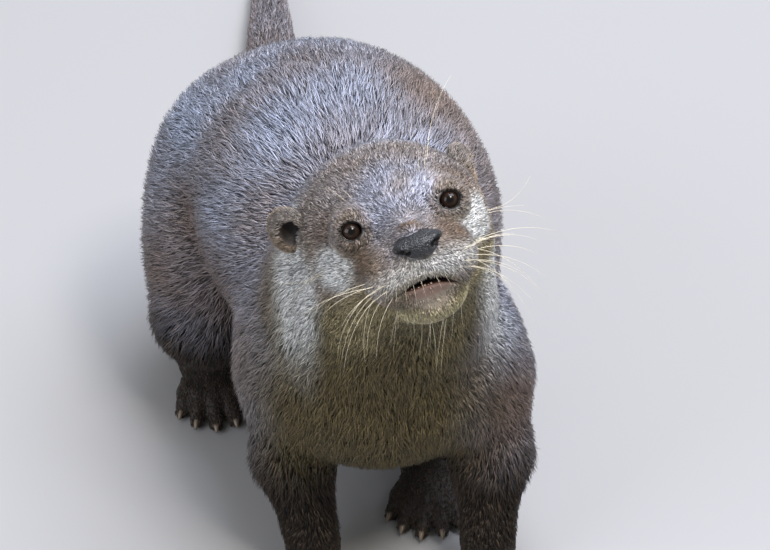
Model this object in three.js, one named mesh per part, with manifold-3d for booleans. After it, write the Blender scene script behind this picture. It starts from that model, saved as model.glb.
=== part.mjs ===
// A life-size otter, of the small-clawed kind, standing hunched on its four short legs with its head
// raised and turned up to whoever looks down on it. Millimetres, +Z up, the floor at Z = 0. The otter
// faces -Y, and its left side is +X.
//
// The body is one smooth field of named masses (ellipsoids and tapered limbs) that melt into each
// other. Capsules laid along the spine, the head, the tail and each leg have their skins pushed out
// to the field and are joined into one otter. The named parts are then cut off it one by one, with a
// thin gap left at each cut.
import * as THREE from "three";
import { mergeVertices } from "three/addons/utils/BufferGeometryUtils.js";
import Module from "manifold-3d";

const wasm = await Module();
wasm.setup();

// ---------------------------------------------------------------- driving dimensions
const GAP = 0.35; // between neighbouring parts
const REACH = 8; // how far outside its own masses a part's wrap reaches, to meet its neighbours' wraps
const CRUMB = 0.1; // slivers smaller than this are closed up where solids are joined or cut
const DEG = Math.PI / 180;

// How softly masses melt together.
const MELT = {
  trunk: 26, tail: 22, tailJoint: 3, head: 10, headJoin: 20, limb: 15, limbMass: 12, foot: 3.2, footJoin: 5,
};

// The head, in its own frame: forward, left, up from the point midway between the eyes.
const HEAD = {
  origin: [2, -25, 200],
  pitch: 24, // nose above the horizontal
  yaw: 9, // turned to the otter's left
  roll: 17, // left eye higher than the right one
};
// The line through the eyes is moved a little to the left, and turned a little against the skull.
const EYE = {
  forward: -1.5, side: 20.3, up: 1.65, shift: 0.4, tilt: 4,
  radius: 5.4, lid: 5, opening: 4.6,
  gaze: [0.95, 0.18, 0.24],
};
// The left ear is laid flatter to the head than the right one.
const EAR = {
  forward: -40, up: 4.4, height: 17, width: 14, thickness: 4.4,
  side: { right: 41, left: 35 },
  turn: { right: 20, left: 66 },
};
const MOUTH = { forward: 20, side: 1, up: -23.5, depth: 12, halfWidth: 14, opening: 3.2 };
const JAW = { top: MOUTH.up, at: [7, 0, -33], radii: [24, 19, 17] };

// Masses of the trunk and neck: centre, then radii.
const TRUNK = {
  chest: [[-7, 30, 98], [55, 55, 51]],
  ribs: [[-17, 92, 112], [63, 66, 55]],
  loin: [[-27, 120, 124], [58, 60, 53]],
  rump: [[-44, 154, 101], [63, 54, 54]],
  neckBase: [[-7, 24, 132], [41, 40, 40]],
  nape: [[-5, 22, 158], [36, 34, 36]],
  throat: [[1, -2, 146], [34, 29, 32]],
};

// Masses of the head, in the head's frame: centre, then radii. A pair has one on each side.
const SKULL = {
  cranium: [[-38, 0, -6], [40, 33, 27]],
  forehead: [[-15, 0, 1], [21, 17, 12]],
  throat: [[-26, 0, -28], [26, 25, 18]],
  bridge: [[5, 0, -4], [22, 9.5, 10]],
  muzzle: [[9.5, 0, -17], [17.5, 16, 11.5]],
  chin: [[9, 0, -32], [14, 12.5, 8]],
  jaw: [[-7, 0, -30], [20, 17, 10.5]],
};
const SKULL_PAIRS = {
  cheek: [[-23, 17, -17], [25, 18.5, 17.5]],
  temple: [[-25, 21, -4], [21, 12.5, 13]],
  brow: [[-8, 15, 6], [9, 7.5, 5]],
  maxilla: [[3, 11, -14], [14, 11, 10]],
  whiskerPad: [[15, 10, -18], [11, 11.5, 9]],
};
const NOSE = {
  pad: [[25.5, 1.2, -4.5], [6, 10.4, 3.5]],
  upper: [[23.5, 1, -2.8], [6, 7.4, 3.2]],
  lower: [[26.3, 1.8, -7.6], [4.8, 6.2, 3.3]],
};
const NOSTRIL = { at: [29, 7.8, -6], radii: [4.2, 1.9, 1.7] };

// The tail's centreline and radii, from the rump to the tip. It lies on the floor behind the fourth point.
const TAIL = [
  [[-43, 184, 84], 28],
  [[-47, 218, 56], 24],
  [[-51, 256, 32], 20.5],
  [[-55, 300, 17], 17.5],
  [[-59, 360, 12], 14.6],
  [[-62, 420, 9], 11],
  [[-65, 478, 5], 6],
];
const TAIL_FLATNESS = 0.88; // its height over its width

// The legs: joints from the body down, with the radius at each, then the foot. The cut is the ball
// that parts the shoulder or the haunch from the trunk.
const LIMBS = {
  fore_right: {
    mass: [[-40, 28, 88], [24, 32, 35]],
    joints: [[[-42, 30, 84], 22], [[-43, 18, 52], 16.5], [[-35, 1, 19], 11.5]],
    cut: [[-70, 26, 90], [50, 36, 44]],
    foot: { kind: "fore", heel: [-34.5, 1, 11], heading: -4 },
  },
  fore_left: {
    mass: [[33, 26, 88], [22, 31, 35]],
    joints: [[[36, 27, 84], 21], [[40, 18, 52], 16.5], [[39, 1, 19], 11.5]],
    cut: [[64, 24, 90], [50, 36, 44]],
    foot: { kind: "fore", heel: [39.5, 1, 11], heading: 7 },
  },
  hind_right: {
    mass: [[-76, 138, 74], [35, 45, 43]],
    joints: [[[-72, 142, 82], 32], [[-82, 116, 50], 22], [[-88, 162, 25], 13]],
    cut: [[-116, 134, 70], [76, 60, 58]],
    foot: { kind: "hind", heel: [-87, 174, 12], heading: 6 },
  },
  hind_left: {
    mass: [[5, 116, 76], [33, 46, 42]],
    joints: [[[2, 124, 82], 31], [[22, 80, 54], 21], [[20, 94, 24], 13]],
    cut: [[50, 110, 70], [62, 58, 58]],
    foot: { kind: "hind", heel: [21, 99, 12], heading: -7 },
  },
};
const ANKLE = 17; // height of the cut between leg and foot
// The flat cuts across the tail's root, under the head and between neck and trunk: a point, and the
// way each cut faces.
const CUTS = {
  tail: { at: [-45, 198, 74], facing: [-0.1, 0.78, -0.61] },
  head: { at: [0, 10, 161], facing: [0, -0.225, 0.974] },
  neck: { at: [-4, 24, 138], facing: [0, -0.62, 0.78] },
};
const FEET = {
  fore: {
    sole: [12, 13, 15, 8], // distance from heel to palm centre, half-width, half-length, half-height
    toeLength: [13, 18, 20, 18, 14],
    toeSpread: 19,
    toeStep: 2.4,
    toeRoot: 8.5,
    toeRadius: [3.9, 2.9],
    wrist: 11,
    room: { length: 80, halfWidth: 27, rod: 24 }, // the foot's box, from behind the heel, and the bones' rods
  },
  hind: {
    sole: [29, 14.5, 32, 8.5],
    toeLength: [17, 24, 27, 25, 19],
    toeSpread: 9,
    toeStep: 4.6,
    toeRoot: 21,
    toeRadius: [4.3, 3.1],
    wrist: 11.5,
    room: { length: 104, halfWidth: 27, rod: 27 },
  },
};
const CLAW = { length: 3, radius: [1.25, 0.45] };

// ---------------------------------------------------------------- fields
// A field tells, for a point, roughly how far outside a shape it is, in mm. Inside is negative.
const melt = (a, b, k) => {
  const h = Math.max(k - Math.abs(a - b), 0) / k;
  return Math.min(a, b) - (h * h * k) / 4;
};

function ellipsoid([[cx, cy, cz], [rx, ry, rz]]) {
  return (x, y, z) => {
    const a = (x - cx) / rx;
    const b = (y - cy) / ry;
    const c = (z - cz) / rz;
    const k0 = Math.hypot(a, b, c);
    const k1 = Math.hypot(a / rx, b / ry, c / rz);
    return k1 > 0 ? (k0 * (k0 - 1)) / k1 : -Math.min(rx, ry, rz);
  };
}

// A limb from a to b whose radius runs from ra to rb, with round ends. flat squeezes it along Z.
function taper(a, b, ra, rb, flat = 1) {
  const [ax, ay, az] = [a[0], a[1], a[2] / flat];
  const ba = [b[0] - ax, b[1] - ay, b[2] / flat - az];
  const l2 = ba[0] ** 2 + ba[1] ** 2 + ba[2] ** 2;
  const rr = ra - rb;
  const a2 = l2 - rr * rr;
  return (x, y, z) => {
    const p = [x - ax, y - ay, z / flat - az];
    const along = p[0] * ba[0] + p[1] * ba[1] + p[2] * ba[2];
    const past = along - l2;
    const x2 = (p[0] * l2 - ba[0] * along) ** 2 + (p[1] * l2 - ba[1] * along) ** 2
      + (p[2] * l2 - ba[2] * along) ** 2;
    const k = Math.sign(rr) * rr * rr * x2;
    if (Math.sign(past) * a2 * past * past * l2 > k) return Math.sqrt(x2 + past * past * l2) / l2 - rb;
    if (Math.sign(along) * a2 * along * along * l2 < k) return Math.sqrt(x2 + along * along * l2) / l2 - ra;
    return (Math.sqrt((x2 * a2) / l2) + along * rr) / l2 - ra;
  };
}

const blend = (fields, k) => (x, y, z) => fields.reduce((d, f) => melt(d, f(x, y, z), k), 1e3);
const chain = (points, flat) =>
  points.slice(1).map(([b, rb], i) => taper(points[i][0], b, points[i][1], rb, flat));

// ---------------------------------------------------------------- the head's frame
function headMatrix() {
  const [p, y, r] = [HEAD.pitch * DEG, HEAD.yaw * DEG, HEAD.roll * DEG];
  const forward = new THREE.Vector3(Math.sin(y) * Math.cos(p), -Math.cos(y) * Math.cos(p), Math.sin(p));
  const level = new THREE.Vector3(Math.cos(y), Math.sin(y), 0);
  const upright = new THREE.Vector3().crossVectors(forward, level);
  const left = level.clone().multiplyScalar(Math.cos(r)).addScaledVector(upright, Math.sin(r));
  const up = new THREE.Vector3().crossVectors(forward, left);
  return new THREE.Matrix4().makeBasis(forward, left, up).setPosition(...HEAD.origin);
}
const HEAD_TO_WORLD = headMatrix();
const WORLD_TO_HEAD = HEAD_TO_WORLD.clone().invert();
const atHead = (f, l, u) => new THREE.Vector3(f, l, u).applyMatrix4(HEAD_TO_WORLD);
const inHead = (field) => {
  const e = WORLD_TO_HEAD.elements;
  return (x, y, z) => field(
    e[0] * x + e[4] * y + e[8] * z + e[12],
    e[1] * x + e[5] * y + e[9] * z + e[13],
    e[2] * x + e[6] * y + e[10] * z + e[14],
  );
};
const mirrored = ([[f, l, u], radii]) => [[f, -l, u], radii];

// ---------------------------------------------------------------- feet
const heading = (degrees) => [Math.sin(degrees * DEG), -Math.cos(degrees * DEG)];

// The toes of one foot: each has its root, tip and radii. They fan out evenly from the palm.
function toesOf({ kind, heel, heading: turn }) {
  const size = FEET[kind];
  const [hx, hy] = heading(turn);
  const palm = [heel[0] + hx * size.sole[0], heel[1] + hy * size.sole[0]];
  return size.toeLength.map((length, i) => {
    const across = i - 2;
    const [tx, ty] = heading(turn + across * size.toeSpread);
    const fan = across * size.toeStep; // roots stand side by side
    const root = [palm[0] + hx * size.toeRoot - hy * fan, palm[1] + hy * size.toeRoot + hx * fan];
    const knuckle = [root[0] + tx * length * 0.45, root[1] + ty * length * 0.45];
    return {
      root: [...root, 8],
      knuckle: [...knuckle, 6.6],
      tip: [root[0] + tx * length, root[1] + ty * length, 2.6],
      way: [tx, ty],
      radii: size.toeRadius,
    };
  });
}

function toeField({ root, knuckle, tip, way, radii: [r0, r1] }) {
  const claw = [tip[0] + way[0] * (CLAW.length + 1), tip[1] + way[1] * (CLAW.length + 1), 1.6];
  const nail = [tip[0] + way[0], tip[1] + way[1], tip[2] + 1.2];
  return blend(
    [taper(root, knuckle, r0, r0), taper(knuckle, tip, r0, r1), taper(nail, claw, ...CLAW.radius)],
    1.2,
  );
}

function footField(foot) {
  const size = FEET[foot.kind];
  const [along, halfWidth, halfLength, halfHeight] = size.sole;
  const [hx, hy] = heading(foot.heading);
  const centre = [foot.heel[0] + hx * along, foot.heel[1] + hy * along, 7];
  const turned = (x, y, z) => {
    const dx = x - centre[0];
    const dy = y - centre[1];
    return [dx * -hy + dy * hx, dx * hx + dy * hy, z - centre[2]];
  };
  const sole = ellipsoid([[0, 0, 0], [halfWidth, halfLength, halfHeight]]);
  const palm = (x, y, z) => sole(...turned(x, y, z));
  const ankle = taper(foot.heel, [centre[0], centre[1], 8], size.wrist, halfHeight * 0.9, 0.9);
  return blend([palm, ankle, ...toesOf(foot).map(toeField)], MELT.foot);
}

// ---------------------------------------------------------------- the body's fields
// A ball round the middle of one eye: s is 1 for the left eye and -1 for the right one.
const eyeBall = (s, radius) => [
  [
    EYE.forward,
    s * EYE.side * Math.cos(EYE.tilt * DEG) + EYE.shift,
    EYE.up - s * EYE.side * Math.sin(EYE.tilt * DEG),
  ],
  [radius, radius, radius],
];
const skullMasses = [
  ...Object.values(SKULL),
  ...Object.values(SKULL_PAIRS),
  ...Object.values(SKULL_PAIRS).map(mirrored),
  eyeBall(1, EYE.lid),
  eyeBall(-1, EYE.lid),
].map(ellipsoid);
const own = {
  trunk: blend(Object.values(TRUNK).map(ellipsoid), MELT.trunk),
  head: inHead(blend(skullMasses, MELT.head)),
  tail: blend(chain(TAIL, TAIL_FLATNESS), MELT.tailJoint),
};
const limbField = ({ mass, joints }) => blend([ellipsoid(mass), ...chain(joints)], MELT.limbMass);
for (const [name, limb] of Object.entries(LIMBS)) {
  own[name] = limbField(limb);
  own[name + "_foot"] = footField(limb.foot);
}

// The whole otter: every part melted into its neighbours.
function whole(x, y, z) {
  let d = melt(own.trunk(x, y, z), own.tail(x, y, z), MELT.tail);
  d = melt(d, own.head(x, y, z), MELT.headJoin);
  for (const name of Object.keys(LIMBS)) d = melt(d, own[name](x, y, z), MELT.limb);
  for (const name of Object.keys(LIMBS)) d = melt(d, own[name + "_foot"](x, y, z), MELT.footJoin);
  return d;
}
const near = (mine) => (x, y, z) => Math.max(whole(x, y, z), mine(x, y, z) - REACH);

// ---------------------------------------------------------------- solids
function toSolid(geometry) {
  const bare = geometry.clone();
  for (const name of Object.keys(bare.attributes)) if (name !== "position") bare.deleteAttribute(name);
  const merged = mergeVertices(bare, 1e-3);
  const kept = [];
  const index = merged.index.array;
  for (let i = 0; i < index.length; i += 3) {
    const [a, b, c] = [index[i], index[i + 1], index[i + 2]];
    if (a !== b && b !== c && a !== c) kept.push(a, b, c);
  }
  return new wasm.Manifold(new wasm.Mesh({
    numProp: 3,
    vertProperties: merged.attributes.position.array,
    triVerts: new Uint32Array(kept),
    tolerance: CRUMB,
  }));
}

// How far from a point inside the field its edge lies in one direction.
function reach(field, from, way, limit) {
  const at = (t) => field(from.x + way.x * t, from.y + way.y * t, from.z + way.z * t);
  const step = limit / 48;
  let near = 0;
  let far = step;
  while (far < limit && at(far) < 0) {
    near = far;
    far += step;
  }
  for (let i = 0; i < 22; i++) {
    const middle = (near + far) / 2;
    if (at(middle) < 0) near = middle;
    else far = middle;
  }
  return near;
}

// A capsule bent along the axis, with every vertex pushed straight out to the field's edge.
function wrap(axis, field, { side = new THREE.Vector3(1, 0, 0), around, along, cap, limit, even = true }) {
  const geometry = new THREE.CapsuleGeometry(1, 1, cap, around, along);
  const position = geometry.attributes.position;
  const from = new THREE.Vector3();
  const way = new THREE.Vector3();
  for (let i = 0; i < position.count; i++) {
    const v = new THREE.Vector3().fromBufferAttribute(position, i);
    const t = THREE.MathUtils.clamp(v.y + 0.5, 0, 1);
    (even ? axis.getPointAt(t, from) : axis.getPoint(t, from));
    const tangent = even ? axis.getTangentAt(t) : axis.getTangent(t);
    const across = side.clone().addScaledVector(tangent, -side.dot(tangent)).normalize();
    const normal = new THREE.Vector3().crossVectors(across, tangent);
    const beyond = v.y - THREE.MathUtils.clamp(v.y, -0.5, 0.5);
    way.set(0, 0, 0).addScaledVector(across, v.x).addScaledVector(normal, v.z).addScaledVector(tangent, beyond);
    way.normalize();
    from.addScaledVector(way, reach(field, from, way, limit));
    position.setXYZ(i, from.x, from.y, from.z);
  }
  return toSolid(geometry);
}

const curve = (points) =>
  new THREE.CatmullRomCurve3(points.map((p) => new THREE.Vector3(...p)), false, "centripetal");
const placed = (geometry, matrix) => toSolid(geometry.clone().applyMatrix4(matrix));
const headBall = ([[f, l, u], [rf, rl, ru]], across = 16, down = 12) =>
  placed(
    new THREE.SphereGeometry(1, across, down),
    HEAD_TO_WORLD.clone().multiply(new THREE.Matrix4().makeTranslation(f, l, u)).multiply(
      new THREE.Matrix4().makeScale(rf, rl, ru),
    ),
  );
const worldBall = ([centre, radii], across, down) =>
  toSolid(new THREE.SphereGeometry(1, across, down).scale(...radii).translate(...centre));
// A block whose one face lies across a cut and which stands half a width out to each side of it.
function slabBeyond({ at, facing }, width, grow) {
  const turn = new THREE.Quaternion().setFromUnitVectors(
    new THREE.Vector3(0, 0, 1),
    new THREE.Vector3(...facing).normalize(),
  );
  return placed(
    new THREE.BoxGeometry(width, width, 400).translate(0, 0, 200 - grow),
    new THREE.Matrix4().compose(new THREE.Vector3(...at), turn, new THREE.Vector3(1, 1, 1)),
  );
}
function rodBetween(a, b, radius) {
  const from = new THREE.Vector3(...a);
  const way = new THREE.Vector3(...b).sub(from);
  const turn = new THREE.Quaternion().setFromUnitVectors(new THREE.Vector3(0, 1, 0), way.clone().normalize());
  const middle = from.addScaledVector(way, 0.5);
  return placed(
    new THREE.CapsuleGeometry(radius, way.length(), 1, 8),
    new THREE.Matrix4().compose(middle, turn, new THREE.Vector3(1, 1, 1)),
  );
}
const biggest = (solid) => solid.decompose().sort((a, b) => b.volume() - a.volume())[0];
const below = (z) => toSolid(new THREE.BoxGeometry(2000, 2000, 200).translate(0, 0, z - 100));

// One leg with its palm and toes, before it is cut.
function legSolid({ joints, foot }, ownLeg, ownFoot) {
  const size = FEET[foot.kind];
  const [hx, hy] = heading(foot.heading);
  const ball = size.sole[0] + size.toeRoot * 0.8;
  const palm = curve([foot.heel, [foot.heel[0] + hx * ball, foot.heel[1] + hy * ball, 7]]);
  const [root, knee, ankle] = joints.map(([p]) => p);
  const eased = knee.map((k, i) => (k + (root[i] + ankle[i]) / 2) / 2); // the axis bends less than the leg
  const bone = curve([root, eased, ankle]);
  let made = wrap(bone, near(ownLeg), { around: 12, along: 6, cap: 2, limit: 90 })
    .add(wrap(palm, ownFoot, { around: 8, along: 2, cap: 2, limit: 40 }));
  for (const toe of toesOf(foot)) {
    const nail = [toe.tip[0] + toe.way[0] * 2, toe.tip[1] + toe.way[1] * 2, 2.4];
    const line = curve([toe.root, toe.knuckle, nail]);
    made = made.add(wrap(line, toeField(toe), { around: 5, along: 1, cap: 1, limit: 9 }));
  }
  return made;
}

// The region a leg is cut to: the ball round its shoulder or haunch, a rod down each bone, and a box
// round the foot.
function legRegion({ joints, cut: [centre, radii], foot }, grow) {
  const { length, halfWidth, rod } = FEET[foot.kind].room;
  const box = new THREE.BoxGeometry(2 * halfWidth, length, 2 * ANKLE)
    .translate(0, -length / 2 + 16, 0)
    .rotateZ(foot.heading * DEG)
    .translate(foot.heel[0], foot.heel[1], 0);
  let room = worldBall([centre, radii.map((r) => r + grow)], 12, 7).add(toSolid(box));
  for (const i of [0, 1]) room = room.add(rodBetween(joints[i][0], joints[i + 1][0], rod + grow));
  return room;
}

// ---------------------------------------------------------------- every part
// A round cup set on the side of the head, its hollow facing forward and out. Grown, it is the
// plain seat that the cup sits in.
function earSolid(s, side, grow = 0) {
  const seat = HEAD_TO_WORLD.clone()
    .multiply(new THREE.Matrix4().makeTranslation(EAR.forward, s * EAR.side[side], EAR.up))
    .multiply(new THREE.Matrix4().makeRotationZ(s * EAR.turn[side] * DEG));
  const flap = new THREE.SphereGeometry(1, 10, 8)
    .scale(EAR.thickness + grow, EAR.width / 2 + grow, EAR.height / 2 + grow);
  if (grow) return placed(flap, seat);
  const hollow = new THREE.SphereGeometry(1, 8, 5)
    .scale(EAR.thickness * 0.9, EAR.width * 0.3, EAR.height * 0.32)
    .translate(EAR.thickness * 0.75, -s * EAR.width * 0.12, -EAR.height * 0.04);
  return placed(flap, seat).subtract(placed(hollow, seat));
}

function noseSolid(grow = 0) {
  const masses = Object.values(NOSE).map(ellipsoid);
  const field = inHead(blend(masses, 3));
  const pad = wrap(
    new THREE.LineCurve3(atHead(22, -5, -5.6), atHead(22, 5, -5.6)),
    (x, y, z) => field(x, y, z) - grow,
    { side: atHead(1, 0, 0).sub(atHead(0, 0, 0)), around: 11, along: 3, cap: 2, limit: 18 },
  );
  if (grow) return pad;
  const [f, l, u] = NOSTRIL.at;
  return pad
    .subtract(headBall([[f, NOSE.pad[0][1] + l, u], NOSTRIL.radii], 8, 6))
    .subtract(headBall([[f, NOSE.pad[0][1] - l, u], NOSTRIL.radii], 8, 6));
}

function build() {
  const parts = {};

  // The whole otter as one solid.
  const spine = curve([
    [-42, 190, 88], [-38, 160, 100], [-28, 128, 110], [-17, 92, 110],
    [-8, 55, 116], [-5, 28, 138], [-3, 10, 168],
  ]);
  const headAxis = new THREE.LineCurve3(atHead(-44, 0, -9), atHead(7, 0, -16));
  const headSide = atHead(0, 1, 0).sub(atHead(0, 0, 0));
  const tailAxis = curve(TAIL.map(([p]) => p));
  let rest = wrap(spine, near(own.trunk), { around: 18, along: 13, cap: 4, limit: 120 })
    .add(wrap(headAxis, near(own.head), { side: headSide, around: 18, along: 8, cap: 5, limit: 75 }))
    .add(wrap(tailAxis, near(own.tail), { around: 10, along: 12, cap: 2, limit: 60 }));
  for (const [name, limb] of Object.entries(LIMBS)) {
    rest = rest.add(legSolid(limb, own[name], own[name + "_foot"]));
  }
  rest = rest.subtract(below(0));

  // Cut a part off, leaving the gap behind it. A region is a solid made a little larger on request.
  const cutOff = (from, makeRegion) => [
    biggest(from.intersect(makeRegion(0))),
    biggest(from.subtract(makeRegion(GAP))),
  ];

  for (const [name, limb] of Object.entries(LIMBS)) {
    let leg;
    [leg, rest] = cutOff(rest, (grow) => legRegion(limb, grow));
    [parts[name + "_foot"], parts[name + "_leg"]] = cutOff(leg, (grow) => below(ANKLE + grow));
  }
  [parts.tail, rest] = cutOff(rest, (grow) => slabBeyond(CUTS.tail, 400, grow));
  [parts.head, rest] = cutOff(rest, (grow) => slabBeyond(CUTS.head, 130, grow));
  [parts.neck, parts.trunk] = cutOff(rest, (grow) => slabBeyond(CUTS.neck, 220, grow));

  // The face: an open mouth, the lower jaw, the nose and the eyes. The ears stand on the head.
  const faceBall = (centre, radii, grow, across, down) =>
    headBall([centre, radii.map((r) => r + grow)], across, down);
  parts.head = parts.head.subtract(
    faceBall(
      [MOUTH.forward, MOUTH.side, MOUTH.up], [MOUTH.depth, MOUTH.halfWidth, MOUTH.opening / 2], 0, 12, 5,
    ),
  );
  [parts.lower_jaw, parts.head] = cutOff(parts.head, (grow) => faceBall(JAW.at, JAW.radii, grow, 12, 8).intersect(
    placed(new THREE.BoxGeometry(160, 160, 100).translate(0, 0, JAW.top - 50 + grow), HEAD_TO_WORLD),
  ));
  parts.nose = noseSolid();
  parts.head = parts.head.subtract(noseSolid(GAP));
  for (const [s, side] of [[-1, "right"], [1, "left"]]) {
    const [centre, radii] = eyeBall(s, EYE.radius);
    const [gf, gl, gu] = EYE.gaze;
    const front = [centre[0] + gf * EYE.radius, centre[1] + s * gl * EYE.radius, centre[2] + gu * EYE.radius];
    parts["eye_" + side] = faceBall(centre, radii, 0, 10, 8);
    parts.head = parts.head
      .subtract(faceBall(centre, radii, GAP, 10, 8))
      .subtract(faceBall(front, [0, 0, 0], EYE.opening, 8, 6));
    parts["ear_" + side] = earSolid(s, side);
    parts.head = parts.head.subtract(earSolid(s, side, GAP));
  }
  for (const name of Object.keys(parts)) parts[name] = biggest(parts[name]);
  return parts;
}

// ---------------------------------------------------------------- colours and the finished group
const FINISH = {
  coat: { color: 0x7d7068, roughness: 0.8 },
  paleCoat: { color: 0xa89f8c, roughness: 0.85 },
  eye: { color: 0x2a1c16, roughness: 0.08 },
  nose: { color: 0x3c3f45, roughness: 0.5 },
  foot: { color: 0x5f544d, roughness: 0.75 },
};
const finishOf = (name) => {
  if (name.startsWith("eye")) return FINISH.eye;
  if (name === "nose") return FINISH.nose;
  if (name.endsWith("foot")) return FINISH.foot;
  if (name === "lower_jaw" || name === "neck") return FINISH.paleCoat;
  return FINISH.coat;
};

function toMesh(name, solid) {
  const { vertProperties, triVerts, numProp } = solid.getMesh();
  const count = vertProperties.length / numProp;
  const vertices = new Float32Array(count * 3);
  for (let i = 0; i < count; i++) vertices.set(vertProperties.subarray(i * numProp, i * numProp + 3), i * 3);
  const geometry = new THREE.BufferGeometry()
    .setAttribute("position", new THREE.BufferAttribute(vertices, 3))
    .setIndex(new THREE.BufferAttribute(triVerts, 1));
  geometry.computeVertexNormals();
  const mesh = new THREE.Mesh(geometry, new THREE.MeshStandardMaterial({ metalness: 0, ...finishOf(name) }));
  mesh.name = name;
  return mesh;
}

// The origin is on the floor, midway along and across the whole otter.
const standing = new THREE.Group();
for (const [name, solid] of Object.entries(build())) standing.add(toMesh(name, solid));
const middle = new THREE.Box3().setFromObject(standing).getCenter(new THREE.Vector3());
standing.position.set(-middle.x, -middle.y, 0);

const otter = new THREE.Group();
otter.name = "otter";
otter.add(standing);

export default otter;
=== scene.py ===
# %% [markdown]
# # A still, life-size otter
# A small-clawed otter stands hunched on four short legs, its head raised and turned up to whoever looks
# down on it. The solid model gives its shape, and this lesson dresses it: one smooth skin, a coat of
# short fur, eyes, nose, mouth, ears, claws and whiskers. Everything is worked out in millimetres in
# the otter's own frame, and turned into Blender's metres as it becomes a mesh.

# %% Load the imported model
import math

import bmesh
import bpy
import numpy as np
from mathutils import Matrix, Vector


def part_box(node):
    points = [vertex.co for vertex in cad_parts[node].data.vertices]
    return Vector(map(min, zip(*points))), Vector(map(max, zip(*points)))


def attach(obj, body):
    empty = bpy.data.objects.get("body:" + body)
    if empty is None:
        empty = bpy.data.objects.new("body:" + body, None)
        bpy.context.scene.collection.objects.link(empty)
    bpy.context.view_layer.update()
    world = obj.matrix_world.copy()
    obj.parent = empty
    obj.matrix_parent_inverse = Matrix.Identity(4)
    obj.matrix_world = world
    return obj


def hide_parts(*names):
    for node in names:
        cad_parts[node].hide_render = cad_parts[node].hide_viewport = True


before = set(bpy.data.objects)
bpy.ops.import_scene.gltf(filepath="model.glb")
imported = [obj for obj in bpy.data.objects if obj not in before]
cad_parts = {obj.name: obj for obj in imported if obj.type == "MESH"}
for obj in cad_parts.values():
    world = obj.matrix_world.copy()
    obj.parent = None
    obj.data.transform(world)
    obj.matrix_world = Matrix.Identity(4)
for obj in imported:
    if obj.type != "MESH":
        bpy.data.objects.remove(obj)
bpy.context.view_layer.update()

MM = 0.001

# %% [markdown]
# ## How far outside a shape a point is
# The otter's body is soft masses that melt into each other. Each mass is a formula that tells how far
# outside it a point is, in mm, and is negative inside. Blender's metaballs do the same, but only with
# balls; a formula can be an egg or a tapered limb, and numpy works it out for every point at once.

# %% Distance formulas
def melt(a, b, k):
    """The nearer of two distances, lowered by up to k / 4 where they are within k of each other."""
    h = np.maximum(k - np.abs(a - b), 0) / k
    return np.minimum(a, b) - h * h * k / 4


def ellipsoid(p, mass):
    """Distance to an egg: how many times too far out the point is, over how fast that number grows there."""
    centre, radii = np.array(mass[0], float), np.array(mass[1], float)
    q = (p - centre) / radii
    k0 = np.sqrt(np.einsum("ij,ij->i", q, q))
    q /= radii
    k1 = np.sqrt(np.einsum("ij,ij->i", q, q))
    return k0 * (k0 - 1) / np.maximum(k1, 1e-9)


def taper(p, a, b, ra, rb, flat=1.0):
    """Distance to a round limb from a to b whose radius runs from ra to rb; flat squeezes it along Z."""
    squeeze = np.array([1, 1, 1 / flat])
    a, b, p = np.array(a, float) * squeeze, np.array(b, float) * squeeze, p * squeeze
    ba, pa = b - a, p - a
    l2, rr = ba @ ba, ra - rb
    a2 = l2 - rr * rr
    y = pa @ ba
    z = y - l2
    x = pa * l2 - y[:, None] * ba
    x2 = np.einsum("ij,ij->i", x, x)
    k = np.sign(rr) * rr * rr * x2
    past = np.sign(z) * a2 * z * z * l2 > k
    before = np.sign(y) * a2 * y * y * l2 < k
    end = np.sqrt(x2 + z * z * l2) / l2 - rb
    start = np.sqrt(x2 + y * y * l2) / l2 - ra
    between = (np.sqrt(x2 * a2 / l2) + y * rr) / l2 - ra
    return np.where(past, end, np.where(before, start, between))


def blend(distances, k):
    """Melts any number of distances into one, a pair at a time."""
    total = 1000.0
    for d in distances:
        total = melt(total, d, k)
    return total


def chain(p, points, flat=1.0):
    """Distances to the limbs that join each point, with its radius, to the next."""
    pairs = zip(points[:-1], points[1:])
    return [taper(p, a, b, ra, rb, flat) for (a, ra), (b, rb) in pairs]


def smooth(points, steps=4):
    """More points on a Catmull-Rom curve, which at each given point runs as its two neighbours lie."""
    rows = np.array([[*at, radius] for at, radius in points], float)
    rows = np.concatenate([2 * rows[:1] - rows[1:2], rows, 2 * rows[-1:] - rows[-2:-1]])
    out = []
    for a, b, c, d in zip(rows, rows[1:], rows[2:], rows[3:]):
        for t in np.arange(steps) / steps:
            bend, twist = 2 * a - 5 * b + 4 * c - d, 3 * b - a - 3 * c + d
            out.append(b + t * (c - a) / 2 + t**2 * bend / 2 + t**3 * twist / 2)
    return [(tuple(row[:3]), row[3]) for row in [*out, rows[-2]]]


def only_near(p, centre, room, field):
    """The field for points within room of the centre, and far outside for the rest, which saves time."""
    out = np.full(len(p), 1000.0)
    close = np.all(np.abs(p - np.array(centre)) < np.array(room), axis=1)
    if close.any():
        out[close] = field(p[close])
    return out


print("one ball of radius 5, 2 mm outside it:", ellipsoid(np.array([[7.0, 0, 0]]), [(0, 0, 0), (5, 5, 5)]))

# %% [markdown]
# ## The masses of the body
# The same masses as in the solid model, in mm, in the otter's own frame: it faces -Y and the floor is
# Z = 0. Each is a centre and three radii. The head's are in the head's frame: forward, left and up
# from the point midway between the eyes.

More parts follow.
